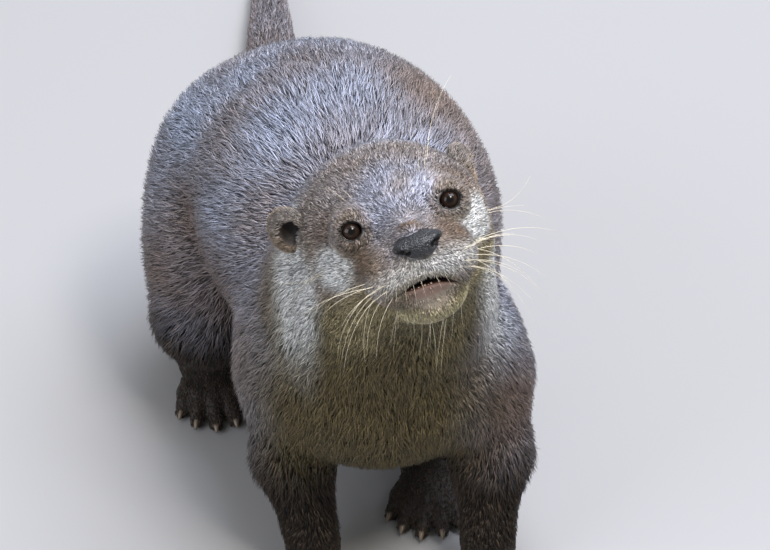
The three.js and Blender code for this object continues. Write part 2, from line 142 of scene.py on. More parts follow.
# %% Trunk, tail and legs
MELT = dict(trunk=26, tail=22, head=10, head_join=20, limb=15, limb_mass=12, foot=3.2, foot_join=5)
TRUNK = dict(
    chest=[(-7, 30, 98), (55, 55, 51)],
    ribs=[(-17, 92, 112), (63, 66, 55)],
    loin=[(-27, 120, 124), (58, 60, 53)],
    rump=[(-44, 154, 101), (63, 54, 54)],
    neck_base=[(-7, 24, 132), (41, 40, 40)],
    nape=[(-5, 22, 158), (36, 34, 36)],
    throat=[(1, -2, 146), (34, 29, 32)],
)
TAIL = [
    ((-43, 184, 84), 28), ((-47, 218, 56), 24), ((-51, 256, 32), 20.5), ((-55, 300, 17), 17.5),
    ((-59, 360, 12), 14.6), ((-62, 420, 9), 11), ((-65, 478, 5), 6),
]
TAIL_FLATNESS = 0.88  # its height over its width
LEGS = dict(
    fore_right=dict(
        mass=[(-40, 28, 88), (24, 32, 35)],
        joints=[((-42, 30, 84), 22), ((-43, 18, 52), 16.5), ((-35, 1, 19), 11.5)],
        kind="fore", heel=(-34.5, 1, 11), heading=-4,
    ),
    fore_left=dict(
        mass=[(33, 26, 88), (22, 31, 35)],
        joints=[((36, 27, 84), 21), ((40, 18, 52), 16.5), ((39, 1, 19), 11.5)],
        kind="fore", heel=(39.5, 1, 11), heading=7,
    ),
    hind_right=dict(
        mass=[(-76, 138, 74), (35, 45, 43)],
        joints=[((-72, 142, 82), 32), ((-82, 116, 50), 22), ((-88, 162, 25), 13)],
        kind="hind", heel=(-87, 174, 12), heading=6,
    ),
    hind_left=dict(
        mass=[(5, 116, 76), (33, 46, 42)],
        joints=[((2, 124, 82), 31), ((22, 80, 54), 21), ((20, 94, 24), 13)],
        kind="hind", heel=(21, 99, 12), heading=-7,
    ),
)
FEET = dict(
    fore=dict(
        palm=12, half_width=13, half_length=15, half_height=8, toe_length=(13, 18, 20, 18, 14),
        toe_spread=19, toe_step=2.4, toe_root=8.5, toe_radius=(3.9, 2.9), wrist=11,
    ),
    hind=dict(
        palm=29, half_width=14.5, half_length=32, half_height=8.5, toe_length=(17, 24, 27, 25, 19),
        toe_spread=9, toe_step=4.6, toe_root=21, toe_radius=(4.3, 3.1), wrist=11.5,
    ),
)
print("body masses:", len(TRUNK), "in the trunk,", len(TAIL), "joints in the tail,", len(LEGS), "legs")

# %% [markdown]
# ## The masses of the head
# An otter's head is broad and flat, with small eyes far forward over a short wide muzzle. A few eggs on the
# middle line and a few pairs beside it are enough, and they stand in the head's own frame, so that the
# whole head can be raised, turned and rolled by three angles.

# %% The head
HEAD = dict(origin=(2, -25, 200), pitch=24, yaw=9, roll=17)  # nose up, turned left, left eye high
EYE = dict(forward=-1.5, side=20.3, up=1.65, shift=0.4, tilt=4, radius=5.4, lid=5.0)
SKULL = dict(
    cranium=[(-38, 0, -6), (40, 33, 27)],
    forehead=[(-15, 0, 1), (21, 17, 12)],
    throat=[(-26, 0, -28), (26, 25, 18)],
    bridge=[(5, 0, -4), (22, 9.5, 10)],
    muzzle=[(9.5, 0, -17), (17.5, 16, 11.5)],
    chin=[(9, 0, -32), (14, 12.5, 8)],
    jaw=[(-7, 0, -30), (20, 17, 10.5)],
)
SKULL_PAIRS = dict(
    cheek=[(-23, 17, -17), (25, 18.5, 17.5)],
    temple=[(-25, 21, -4), (21, 12.5, 13)],
    brow=[(-8, 15, 6), (9, 7.5, 5)],
    maxilla=[(3, 11, -14), (14, 11, 10)],
    whisker_pad=[(15, 10, -18), (11, 11.5, 9)],
)
SIDES = dict(right=-1, left=1)


def head_axes():
    """The head's forward, left and up directions, from its pitch, yaw and roll."""
    pitch, yaw, roll = (math.radians(HEAD[k]) for k in ("pitch", "yaw", "roll"))
    forward = np.array([
        math.sin(yaw) * math.cos(pitch), -math.cos(yaw) * math.cos(pitch), math.sin(pitch),
    ])
    level = np.array([math.cos(yaw), math.sin(yaw), 0])
    upright = np.cross(forward, level)
    left = level * math.cos(roll) + upright * math.sin(roll)
    return np.array([forward, left, np.cross(forward, left)])


AXES = head_axes()


def at_head(q):
    """From the head's frame to the otter's."""
    return np.array(HEAD["origin"]) + np.asarray(q, float) @ AXES


def in_head(p):
    """From the otter's frame to the head's: forward, left and up."""
    return (np.asarray(p, float) - np.array(HEAD["origin"])) @ AXES.T


def eye_centre(s):
    """The middle of one eye in the head's frame; the line through both is shifted and tilted a little."""
    tilt = math.radians(EYE["tilt"])
    across = s * EYE["side"]
    left, up = across * math.cos(tilt) + EYE["shift"], EYE["up"] - across * math.sin(tilt)
    return np.array([EYE["forward"], left, up])


print("eyes, mm from the middle of the head's frame:", eye_centre(-1).round(1), eye_centre(1).round(1))

# %% [markdown]
# ## The whole outline
# Each part of the body gets its own distance, and the whole is those distances melted together: the head into
# the trunk over a wide curve, the toes into the soles over a narrow one. A part is worked out only
# near itself, because most of the time would otherwise go to points far from it.

# %% Distance to each part of the body
def trunk(p):
    """The seven eggs of the trunk and neck, melted together."""
    return blend([ellipsoid(p, m) for m in TRUNK.values()], MELT["trunk"])


def tail(p):
    """The solid tail's joints with a smooth curve through them, so that it bends without corners."""
    def near(points):
        return np.min(chain(points, smooth(TAIL), TAIL_FLATNESS), axis=0)

    return only_near(p, (-52, 340, 70), (120, 230, 150), near)


def head(p):
    """The skull's masses, with each pair's egg on both sides, melted together in the head's frame."""
    def near(points):
        q = in_head(points)
        masses = [*SKULL.values(), *SKULL_PAIRS.values()]
        masses += [[(f, -l, u), radii] for (f, l, u), radii in SKULL_PAIRS.values()]
        masses += [[eye_centre(s), (EYE["lid"],) * 3] for s in SIDES.values()]
        return blend([ellipsoid(q, m) for m in masses], MELT["head"])

    return only_near(p, at_head((-20, 0, -12)), (75, 85, 75), near)


def leg(p, limb):
    """The shoulder's or thigh's egg with the two tapered pieces of the limb melted on."""
    def near(points):
        return blend([ellipsoid(points, limb["mass"]), *chain(points, limb["joints"])], MELT["limb_mass"])

    return only_near(p, np.add(limb["mass"][0], (0, 0, -25)), (75, 95, 95), near)


def heading(degrees):
    """A direction on the floor, so many degrees to the left of straight ahead."""
    return np.array([math.sin(math.radians(degrees)), -math.cos(math.radians(degrees))])


def toes_of(limb):
    """Root, knuckle, tip and direction of a foot's five toes, which fan out evenly from its palm."""
    size = FEET[limb["kind"]]
    way = heading(limb["heading"])
    square = np.array([-way[1], way[0]])
    palm = np.array(limb["heel"][:2]) + way * size["palm"]
    toes = []
    for i, length in enumerate(size["toe_length"]):
        out = heading(limb["heading"] + (i - 2) * size["toe_spread"])
        root = palm + way * size["toe_root"] + square * (i - 2) * size["toe_step"]
        toes.append(((*root, 8), (*(root + out * length * 0.45), 6.6), (*(root + out * length), 2.6), out))
    return toes


def foot(p, limb):
    """The sole's egg, turned to the foot's heading, with the ankle and five toes melted on."""
    size = FEET[limb["kind"]]
    way = heading(limb["heading"])
    centre = np.array([*(np.array(limb["heel"][:2]) + way * size["palm"]), 7])

    def near(points):
        d = points - centre
        turned = np.stack([d[:, 1] * way[0] - d[:, 0] * way[1], d[:, :2] @ way, d[:, 2]], axis=1)
        sole = ellipsoid(turned, [(0, 0, 0), (size["half_width"], size["half_length"], size["half_height"])])
        ankle = taper(points, limb["heel"], (*centre[:2], 8), size["wrist"], size["half_height"] * 0.9, 0.9)
        r0, r1 = size["toe_radius"]
        toes = [
            blend([taper(points, root, knuckle, r0, r0), taper(points, knuckle, tip, r0, r1)], 1.2)
            for root, knuckle, tip, _ in toes_of(limb)
        ]
        return blend([sole, ankle, *toes], MELT["foot"])

    return only_near(p, centre, (45, 70, 35), near)


def whole(p):
    """Distance to the outside of the coat: every part melted into its neighbours."""
    d = melt(trunk(p), tail(p), MELT["tail"])
    d = melt(d, head(p), MELT["head_join"])
    for limb in LEGS.values():
        d = melt(d, leg(p, limb), MELT["limb"])
    for limb in LEGS.values():
        d = melt(d, foot(p, limb), MELT["foot_join"])
    return d


print("depth inside the ribs, mm:", -whole(np.array([TRUNK["ribs"][0]], float)).round(1))

# %% [markdown]
# ## From the otter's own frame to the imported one
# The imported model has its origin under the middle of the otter. The eyes are balls, so the middle of
# their boxes says exactly where they are, and how far the otter's own frame has to be shifted.

# %% The shift
def middle_of(node):
    """The middle of a node's box, in mm."""
    low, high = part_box(node)
    return (np.array(low) + np.array(high)) / 2 / MM


eyes_packed = (middle_of("eye_left") + middle_of("eye_right")) / 2
SHIFT = eyes_packed - at_head((eye_centre(1) + eye_centre(-1)) / 2)
SHIFT[2] = 0
print("shift of the otter's frame, mm:", SHIFT.round(2))


def to_scene(p):
    """Own millimetres to the scene's metres."""
    return (np.asarray(p, float) + SHIFT) * MM

# %% [markdown]
# ## The camera
# The camera looks down on the otter from in front, 36 degrees above the horizon and 1.8 m away, through a
# long lens, as a visitor at a railing would. It is aimed at a point inside the trunk.

# %% Camera
CAMERA = dict(target=(-4.2, 60, 111.8), elevation=36, distance=1800, focal=200.2, sensor=36)


def make_camera():
    """A camera straight in front of the target, raised by the elevation and turned back to face it."""
    target = Vector(to_scene(CAMERA["target"]))
    tilt = math.radians(CAMERA["elevation"])
    back = Vector((0, -math.cos(tilt), math.sin(tilt)))
    data = bpy.data.cameras.new("camera")
    data.lens, data.sensor_width = CAMERA["focal"], CAMERA["sensor"]
    data.clip_start, data.clip_end = 0.1, 20
    camera = bpy.data.objects.new("camera", data)
    camera.location = target + back * CAMERA["distance"] * MM
    camera.rotation_euler = (-back).to_track_quat("-Z", "Y").to_euler()
    bpy.context.scene.collection.objects.link(camera)
    bpy.context.scene.camera = camera


make_camera()
print("camera:", CAMERA["distance"], "mm away,", CAMERA["elevation"], "degrees up")

# %% [markdown]
# ## The light
# Soft studio light: one wide lamp overhead, a small one in front that puts a bright point in each eye, and a
# fill from the other side. The world behind them is brighter above the horizon than below, as a room
# with a pale ceiling and darker walls is, which shades the underside without a hard shadow.

# %% Lamps and walls
def srgb(hex_colour):
    """A hex colour as linear red, green, blue and alpha: each channel is undone from sRGB's curve."""
    channels = [int(hex_colour[i : i + 2], 16) / 255 for i in (1, 3, 5)]
    return [c / 12.92 if c <= 0.04045 else ((c + 0.055) / 1.055) ** 2.4 for c in channels] + [1.0]


def add_lamp(name, place, size, power, hex_colour):
    """A square soft lamp at a place in metres, turned to face the otter."""
    data = bpy.data.lights.new(name, "AREA")
    data.shape, data.size, data.energy = "SQUARE", size, power
    data.color = srgb(hex_colour)[:3]
    lamp = bpy.data.objects.new(name, data)
    lamp.location = place
    lamp.rotation_euler = (Vector((0, 0, 0.1)) - lamp.location).to_track_quat("-Z", "Y").to_euler()
    bpy.context.scene.collection.objects.link(lamp)


add_lamp("lamp_overhead", (0.55, 0.2, 1.9), 1.5, 68, "#eef1ff")
add_lamp("lamp_front", (0.7, -1.0, 2.1), 0.55, 36, "#fff7ec")
add_lamp("lamp_fill", (-1.5, -1.2, 1.1), 1.3, 22, "#f2f4ff")


def make_walls():
    """A world whose strength rises from the walls' to the ceiling's with the sine of the height."""
    world = bpy.data.worlds.new("pale ceiling over darker walls")
    world.use_nodes = True
    walls = world.node_tree
    direction = walls.nodes.new("ShaderNodeTexCoord")
    height = walls.nodes.new("ShaderNodeSeparateXYZ")
    strength = walls.nodes.new("ShaderNodeMapRange")
    strength.inputs["From Min"].default_value = 0.7  # the sine where the ceiling begins
    strength.inputs["To Min"].default_value, strength.inputs["To Max"].default_value = 0.6, 1.2
    walls.links.new(direction.outputs["Generated"], height.inputs["Vector"])
    walls.links.new(height.outputs["Z"], strength.inputs["Value"])
    walls.links.new(strength.outputs["Result"], walls.nodes["Background"].inputs["Strength"])
    walls.nodes["Background"].inputs["Color"].default_value = srgb("#e9e7e1")
    bpy.context.scene.world = world


make_walls()
bpy.context.scene.view_settings.view_transform = "Standard"
print("three lamps, a pale ceiling and walls")

# %% [markdown]
# ## Meshes and materials
# Two helpers are used for every piece. One puts numpy's points and faces into a mesh; the other adds a
# shader node with its settings and links. Closed shells are checked by their volume, which is negative
# when the faces point inwards.

# %% Helpers
def volume_of(points, faces):
    """Sum of the tetrahedra from the origin to each triangle, which is positive for outward faces."""
    a, b, c = (points[faces[:, i]] for i in range(3))
    return np.einsum("ij,ij->", a, np.cross(b, c)) / 6


def put_together(parts):
    """Joins (points, faces) pairs into one, with each pair's faces moved on past the points before it."""
    starts = np.cumsum([0] + [len(p) for p, _ in parts[:-1]])
    return np.concatenate([p for p, _ in parts]), np.concatenate([f + s for (_, f), s in zip(parts, starts)])


def make_mesh(name, points, faces, material, closed=True, part=True):
    """An object at the origin whose place is in its mesh, with smooth faces that point outwards."""
    points, faces = np.asarray(points, float), np.asarray(faces, np.int32)
    if closed and volume_of(points - points.mean(0), faces) < 0:
        faces = faces[:, ::-1]
    mesh = bpy.data.meshes.new(name)
    mesh.vertices.add(len(points))
    mesh.vertices.foreach_set("co", to_scene(points).astype(np.float32).ravel())
    mesh.loops.add(faces.size)
    mesh.loops.foreach_set("vertex_index", faces.ravel())
    mesh.polygons.add(len(faces))
    mesh.polygons.foreach_set("loop_start", np.arange(0, faces.size, faces.shape[1], dtype=np.int32))
    mesh.update(calc_edges=True)
    mesh.shade_smooth()
    mesh.materials.append(material)
    piece = bpy.data.objects.new(name, mesh)
    bpy.context.scene.collection.objects.link(piece)
    if part:
        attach(piece, "root")
    return piece


def set_attribute(piece, name, values):
    """Stores one number or one colour for each of the mesh's points."""
    values = np.asarray(values, np.float32)
    kind, field = ("FLOAT", "value") if values.ndim == 1 else ("FLOAT_COLOR", "color")
    if values.ndim == 2:
        values = np.concatenate([values[:, :3], np.ones((len(values), 1), np.float32)], axis=1)
    piece.data.attributes.new(name, kind, "POINT").data.foreach_set(field, values.ravel())


def new_material(name):
    """A material with its node tree, its Principled shader and a function that adds nodes to it."""
    material = bpy.data.materials.new(name)
    material.use_nodes = True
    tree = material.node_tree
    shader = tree.nodes["Principled BSDF"]

    def add(kind, settings=(), links=()):
        """Adds a node; a setting is one of its own fields or an input, and a link feeds an input."""
        node = tree.nodes.new(kind)
        for key, value in dict(settings).items():
            if isinstance(key, str) and hasattr(node, key):
                setattr(node, key, value)
            else:
                node.inputs[key].default_value = value
        for key, socket in dict(links).items():
            tree.links.new(socket, node.inputs[key])
        return node

    return material, tree, shader, add


def ball_grid(rows, around):
    """A ball's unit vectors, ring by ring from the lower pole, then its two poles, and its triangles."""
    down = np.linspace(0, np.pi, rows + 2)[1:-1][:, None]
    turn = np.linspace(0, 2 * np.pi, around, endpoint=False)[None]
    x, y, z = np.sin(down) * np.cos(turn), np.sin(down) * np.sin(turn), -np.cos(down) + 0 * turn
    ring = np.stack([x, y, z], axis=2)
    return np.concatenate([ring.reshape(-1, 3), [(0, 0, -1), (0, 0, 1)]]), shell_faces(rows, around)


def shell_faces(rows, around):
    """Triangles of a closed shell of rings and two poles: each grid square in two, and a fan at each end."""
    r, a = (x.ravel() for x in np.meshgrid(np.arange(rows - 1), np.arange(around), indexing="ij"))
    b = (a + 1) % around
    low_a, low_b, high_a, high_b = r * around + a, r * around + b, (r + 1) * around + a, (r + 1) * around + b
    squares = np.concatenate([np.stack([low_a, low_b, high_b], 1), np.stack([low_a, high_b, high_a], 1)])
    a = np.arange(around)
    b, top = (a + 1) % around, (rows - 1) * around
    south = np.stack([np.full(around, rows * around), b, a], 1)
    north = np.stack([np.full(around, rows * around + 1), top + a, top + b], 1)
    return np.concatenate([squares, south, north])


print("a ball of 10 rings of 12 points has", len(ball_grid(10, 12)[1]), "triangles")

# %% [markdown]
# ## The skin
# One skin takes the place of all the solid parts of flesh, so that no seam shows. It could be sculpted,
# but the formulas already say where it lies: inside the outline by the depth of the coat. So the depth
# comes first. It is longest on the body, 4.5 mm, and almost nothing on the paws, the lips and the lids.

# %% How deep the coat is
def ramp(x, low, high):
    """0 at low, 1 at high and an S-shaped rise between; low may be the larger."""
    t = np.clip((x - low) / (high - low), 0, 1)
    return t * t * (3 - 2 * t)


def mix(a, b, share):
    """Goes from a to b by a share, which may be one number for all points or one for each."""
    share = np.asarray(share)
    if share.ndim == 1 and 3 in np.shape(a)[-1:] + np.shape(b)[-1:]:  # a colour or a direction for each point
        share = share[:, None]
    return a * (1 - share) + b * share


def eye_distance(q):
    """Distance in mm, in the head's frame, to the nearer eye's centre."""
    return np.minimum(*(np.linalg.norm(q - eye_centre(s), axis=1) for s in SIDES.values()))


GAZE = (0.97, 0.0, 0.24)  # the way both eyes face, in the head's frame: forward and a little up


def eye_axes():
    """An eye's own directions: out of the head, towards the otter's left, and up."""
    out = np.array(GAZE) / np.linalg.norm(GAZE)
    left = np.cross((0, 0, 1), out)
    return np.array([out, left, np.cross(out, left)])


def in_eye(q, s):
    """From the head's frame to an eye's: out, left and up from its centre."""
    return (q - eye_centre(s)) @ eye_axes().T


DEPTH = dict(  # mm
    body=4.5, neck=3.4, crown=2.2, face=1.3, muzzle=0.8, lip=0.4, lid=0.45, leg=2.6, paw=0.5, tail=3.2,
)


def coat_depth(p):
    """Depth of the fur in mm: it thins over the neck to the face, and down the legs to the paws."""
    q = in_head(p)
    depth = mix(np.full(len(p), DEPTH["body"]), DEPTH["neck"], ramp(q[:, 0], -95, -55))
    depth = mix(depth, DEPTH["crown"], ramp(q[:, 0], -55, -28) * ramp(q[:, 2], -60, -35))
    depth = mix(depth, DEPTH["face"], ramp(q[:, 0], -28, -5) * ramp(q[:, 2], -60, -40))
    depth = mix(depth, DEPTH["muzzle"], ramp(q[:, 0], 2, 18))
    depth = mix(depth, DEPTH["lid"], ramp(eye_distance(q), 10.5, 6.5))
    depth = mix(depth, DEPTH["lip"], ramp(mouth_gap(q), 3.5, 1) * (q[:, 0] > 12) * (np.abs(q[:, 1]) < 20))
    depth = mix(depth, DEPTH["tail"], ramp(p[:, 1], 200, 280))
    depth = mix(depth, DEPTH["leg"], ramp(p[:, 2], 60, 34) * ramp(p[:, 1], 240, 200))
    return mix(depth, DEPTH["paw"], ramp(p[:, 2], 30, 15) * ramp(p[:, 1], 215, 195))


print("coat from", min(DEPTH.values()), "to", max(DEPTH.values()), "mm deep")

# %% [markdown]
# ## Lids
# The eye lies in two lids that close on it like lips, with fine creases above and below and a sharp inner
# corner from which a furrow runs on towards the nose. All of it is one more distance: an egg over the
# eyeball, less the creases, less an oval opening that reaches down past the eyeball's front.

# %% Lids
LIDS = dict(  # mm
    radii=(5.8, 6.2, 6.1),  # of the egg: out, across and up
    opening=(4.0, 3.4, 3.8),  # of the oval: across, up and down
    floor=3.0,  # the opening's floor, out from the eye's centre
)
CREASES = [  # distance off the opening's edge, depth, half width, and whether it lies above (1) or below (-1)
    (1.6, 0.5, 0.38, 1), (3.5, 0.22, 0.45, 1),
    (1.2, 0.26, 0.30, -1), (2.5, 0.30, 0.38, -1), (4.1, 0.16, 0.45, -1),
]
INNER_CORNER = dict(start=(3.7, -0.7), end=(6.0, -1.9), depth=0.75, half_width=0.55)  # mm, inward and up
FURROW = dict(start=(6.4, -2.6), end=(10.5, -7.5), depth=0.30, half_width=0.8)


def off_edge(inward, up):
    """Distance in mm from the edge of an eye's oval opening, seen from in front."""
    width, above, below = LIDS["opening"]
    return (np.hypot(inward / width, up / np.where(up > 0, above, below)) - 1) * width


def line_crease(x, y, line):
    """A crease along a line in a plane: its depth times a bell curve of the distance from the line."""
    (ax, ay), (bx, by) = line["start"], line["end"]
    t = np.clip(((x - ax) * (bx - ax) + (y - ay) * (by - ay)) / ((bx - ax) ** 2 + (by - ay) ** 2), 0, 1)
    far = np.hypot(x - ax - t * (bx - ax), y - ay - t * (by - ay))
    return line["depth"] * np.exp(-((far / line["half_width"]) ** 2))


def eye_folds(q, s):
    """Depth of the creases round an eye, in mm. They run along the lids and waver; the inner corner is drawn
    out to a point, and a faint furrow runs on from it towards the nose."""
    e = in_eye(q, s)
    inward, up = -s * e[:, 1], e[:, 2]
    off, turn = off_edge(inward, up), np.arctan2(up, inward)
    waver = 0.30 * np.sin(3 * turn + 1.1 + s) + 0.16 * np.sin(7 * turn + 2 * s)
    total = np.zeros(len(q))
    for place, depth, half, where in CREASES:
        reach = ramp(where * np.sin(turn), -0.25, 0.5)
        total += depth * reach * np.exp(-(((off - place - waver * place / 3) / half) ** 2))
    total += line_crease(inward, up, INNER_CORNER) + line_crease(inward, up, FURROW)
    return total * (e[:, 0] > -3)


def with_lids(d, q, s):
    """Wraps an eye in its lids, presses the creases in, and cuts the opening down past its front."""
    e = in_eye(q, s)
    d = melt(d, ellipsoid(e, [(0, 0, 0.2), LIDS["radii"]]), 5.0) + eye_folds(q, s)
    hole = np.maximum(off_edge(-s * e[:, 1], e[:, 2]), LIDS["floor"] - e[:, 0])
    return carve(d, hole, 0.7)


print("lids open", 2 * LIDS["opening"][0], "mm wide and", round(sum(LIDS["opening"][1:]), 1), "mm high")

# %% [markdown]
# ## The mouth
# The mouth is a little open on the otter's right of the middle. A hollow cut into the formula would stop the
# rays of the next step, so the muzzle is made shut, and the opening is pressed in as a groove at the end.

# %% The open mouth
MOUTH = dict(  # mm in the head's frame
    side=-3.0, up=-19.8,  # middle of the line where the lips meet
    corner=15.0,  # from there to each corner
    middle=-0.4, half_width=9.6, opening=1.75, depth=6.5,  # the part that is open; opening is half its height
)


def over_lips(q):
    """Height above the line where the lips meet, which is a faint frown, lower on the left."""
    across = q[:, 1] - MOUTH["side"]
    return q[:, 2] - MOUTH["up"] + 0.012 * across**2 + 0.0015 * np.maximum(across, 0) ** 3


def mouth_gap(q):
    """Distance, seen from in front, to the opening between the lips: a flat oval along their line."""
    bent = np.stack([0 * q[:, 0], q[:, 1] - MOUTH["middle"], over_lips(q)], axis=1)
    return ellipsoid(bent, [(0, 0, 0), (1, MOUTH["half_width"], MOUTH["opening"])])


def closed_lips(q):
    """1 on the line where the lips touch, from the opening out to the corners of the mouth, and 0 off it."""
    return np.exp(-((over_lips(q) / 0.5) ** 2)) * ramp(np.abs(q[:, 1] - MOUTH["side"]), MOUTH["corner"], 12)


def part_lips(p):
    """Presses the opening into the shut muzzle: its points move back and towards the middle."""
    q = in_head(p)
    front = (q[:, 0] > 8) & (np.abs(q[:, 1]) < 24) & (np.abs(q[:, 2] - MOUTH["up"]) < 12)
    way = np.stack([2 - q[:, 0], 0.5 * (MOUTH["side"] - q[:, 1]), 0 * q[:, 0]], axis=1)
    way /= np.linalg.norm(way, axis=1, keepdims=True)
    push = np.maximum(MOUTH["depth"] * ramp(mouth_gap(q), 0.35, -0.55), 0.8 * closed_lips(q)) * front
    return p + way @ AXES * push[:, None]


print("mouth open by", 2 * MOUTH["opening"], "mm in the middle")

# %% [markdown]
# ## Moving points onto the skin
# A point near the skin is moved by its distance along the formula's slope, a few times over. This is Newton's
# way of finding a root, and it works from any rough mesh that is already close.

# %% The skin's distance and how points settle on it
def carve(d, hole, k):
    """Takes a hole out of a shape, with its rim rounded over k."""
    return -melt(-d, hole, k)


def bare(p):
    """Distance to the skin: the outline less the coat, with eye sockets and the mouth still shut."""
    d = whole(p) + coat_depth(p)
    q = in_head(p)
    for s in SIDES.values():
        close = np.linalg.norm(q - eye_centre(s), axis=1) < 15
        d[close] = with_lids(d[close], q[close], s)
    return d


def slope(field, p, step=0.04):
    """The field's value and its gradient, from three small steps along X, Y and Z."""
    d = field(p)
    rises = [field(p + np.eye(3)[i] * step) - d for i in range(3)]
    return d, np.stack(rises, axis=1) / step


def settle(field, p, rounds, longest=2.5):
    """Each round moves a point along the slope by its distance over the slope, up to the longest."""
    for _ in range(rounds):
        d, g = slope(field, p)
        move = g * (d / np.maximum(np.einsum("ij,ij->i", g, g), 0.05))[:, None]
        length = np.linalg.norm(move, axis=1, keepdims=True)
        p = p - move * np.minimum(1, longest / np.maximum(length, 1e-9))
    return p


crown = settle(bare, at_head([(-30, 0, 25)]), 5)
print("a point settled on the crown is off the skin by", np.abs(bare(crown)).round(4), "mm")

# %% [markdown]
# ## Rough bags
# The rough mesh is a bag for each part. Rays leave a line through its middle and stop where they pass its
# edge, and their ends form a grid of rings. A loop is only over the steps along the rays: every ray
# of a bag is worked out at once.

# %% Bags wrapped round each axis
def along_path(path, t):
    """The point a share t of the way along a path of straight pieces, and its direction there."""
    path = np.array(path, float)
    lengths = np.linalg.norm(np.diff(path, axis=0), axis=1)
    places = np.concatenate([[0], np.cumsum(lengths)]) / lengths.sum()
    at = np.stack([np.interp(t, places, path[:, i]) for i in range(3)], axis=-1)
    ahead = np.stack([np.interp(np.minimum(t + 0.04, 1), places, path[:, i]) for i in range(3)], axis=-1)
    behind = np.stack([np.interp(np.maximum(t - 0.04, 0), places, path[:, i]) for i in range(3)], axis=-1)
    way = ahead - behind
    return at, way / np.linalg.norm(way, axis=-1, keepdims=True)


def wrap(path, field, rows, around, limit, side=(1, 0, 0), cap=0.22):
    """A closed bag on a grid: rays leave the path square to it and fan out over its ends. Steps along them
    find where each leaves the field, and halving the last step makes that exact."""
    v = np.linspace(0, 1, rows + 2)
    at, way = along_path(path, np.clip((v - cap) / (1 - 2 * cap), 0, 1))
    fan = (np.clip(v / cap, 0, 1) - 1 + np.clip((v - 1 + cap) / cap, 0, 1)) * np.pi / 2
    across = np.array(side) - way * (way @ np.array(side))[:, None]
    across /= np.linalg.norm(across, axis=1, keepdims=True)
    square = np.cross(way, across)
    turn = np.linspace(0, 2 * np.pi, around, endpoint=False)
    flat = np.cos(turn)[None, :, None] * across[:, None] + np.sin(turn)[None, :, None] * square[:, None]
    rays = np.cos(fan)[:, None, None] * flat + np.sin(fan)[:, None, None] * way[:, None]
    rays = np.concatenate([rays[1:-1].reshape(-1, 3), rays[0, :1], rays[-1, :1]])
    start = np.concatenate([np.repeat(at[1:-1], around, axis=0), at[:1], at[-1:]])
    near, far, found = np.zeros(len(rays)), np.full(len(rays), float(limit)), np.zeros(len(rays), bool)
    for t in np.linspace(0, limit, 25)[1:]:
        outside = (field(start + rays * t) > 0) & ~found
        near[~found & ~outside], far[outside] = t, t
        found |= outside
    for _ in range(6):
        half = (near + far) / 2
        outside = field(start + rays * half[:, None]) > 0
        near, far = np.where(outside, near, half), np.where(outside, half, far)
    return start + rays * near[:, None], shell_faces(rows, around)


def near(own, overlap=8):
    """The skin, as far as it is within an overlap of one part's own shape."""
    return lambda p: np.maximum(bare(p), own(p) - overlap)


def bags():
    """Bags for the trunk, the head, the tail and each leg, palm and toe."""
    spine = [(-42, 190, 88), (-38, 160, 100), (-28, 128, 110), (-17, 92, 110), (-8, 55, 116), (-5, 28, 138),
             (-3, 10, 168)]
    made = [
        wrap(spine, near(trunk), 60, 48, 120),
        wrap(at_head([(-44, 0, -9), (4, 0, -12)]), near(head), 60, 56, 75, AXES[1]),
        wrap([point for point, _ in TAIL], near(tail), 60, 24, 60),
    ]
    for limb in LEGS.values():
        size, way = FEET[limb["kind"]], heading(limb["heading"])
        r0, r1 = size["toe_radius"]
        root, knee, ankle = (np.array(point, float) for point, _ in limb["joints"])
        heel = np.array(limb["heel"], float)
        ball = heel + np.array([*(way * (size["palm"] + size["toe_root"] * 0.8)), -4])
        eased = (knee + (root + ankle) / 2) / 2
        made.append(wrap([root, eased, ankle], near(lambda p, limb=limb: leg(p, limb)), 30, 28, 90))
        made.append(wrap([heel, ball], near(lambda p, limb=limb: foot(p, limb), 2), 16, 20, 40))
        for toe_root, knuckle, tip, _ in toes_of(limb):

            def toe(p, a=toe_root, b=knuckle, c=tip):
                return np.minimum(taper(p, a, b, r0, r0), taper(p, b, c, r0, r1)) + DEPTH["paw"]

            made.append(wrap([toe_root, knuckle, tip], toe, 12, 10, 9))
    return put_together(made)


print("halfway along the tail, mm:", along_path([point for point, _ in TAIL], np.array([0.5]))[0].round(1))

# %% [markdown]
# ## One skin out of the bags
# A voxel remesh melts the bags into one closed mesh of even squares. Its points then settle on the
# formula, and where the shape is finer than the squares, they are cut in four and settle again.

# %% One skin out of the bags
def read_mesh(mesh):
    """A mesh's points in own millimetres."""
    co = np.empty(len(mesh.vertices) * 3, np.float32)
    mesh.vertices.foreach_get("co", co)
    return co.reshape(-1, 3).astype(float) / MM - SHIFT


def write_mesh(mesh, points):
    """Puts points in own millimetres back into their mesh."""
    mesh.vertices.foreach_set("co", to_scene(points).astype(np.float32).ravel())
    mesh.update()


def divide(mesh, chosen):
    """Cuts in four the faces whose points are all chosen, and fits their neighbours to them."""
    bm = bmesh.new()
    bm.from_mesh(mesh)
    bm.verts.ensure_lookup_table()
    edges = [e for e in bm.edges if chosen[e.verts[0].index] and chosen[e.verts[1].index]]
    bmesh.ops.subdivide_edges(bm, edges=edges, cuts=1, use_grid_fill=True)
    bm.to_mesh(mesh)
    bm.free()


VOXEL = 2.0  # mm, the squares of the body's skin


def head_and_paws(p, q):
    """Where the squares are cut to 1 mm."""
    return (q[:, 0] > -42) & (q[:, 2] > -48) & (head(p) < 6) | (p[:, 2] < 26) & (p[:, 1] < 200)


def muzzle_and_eyes(p, q):
    """Where they are cut to 0.5 mm."""
    return (q[:, 0] > 2) & (q[:, 2] > -32) & (np.abs(q[:, 1]) < 24) | (eye_distance(q) < 10)


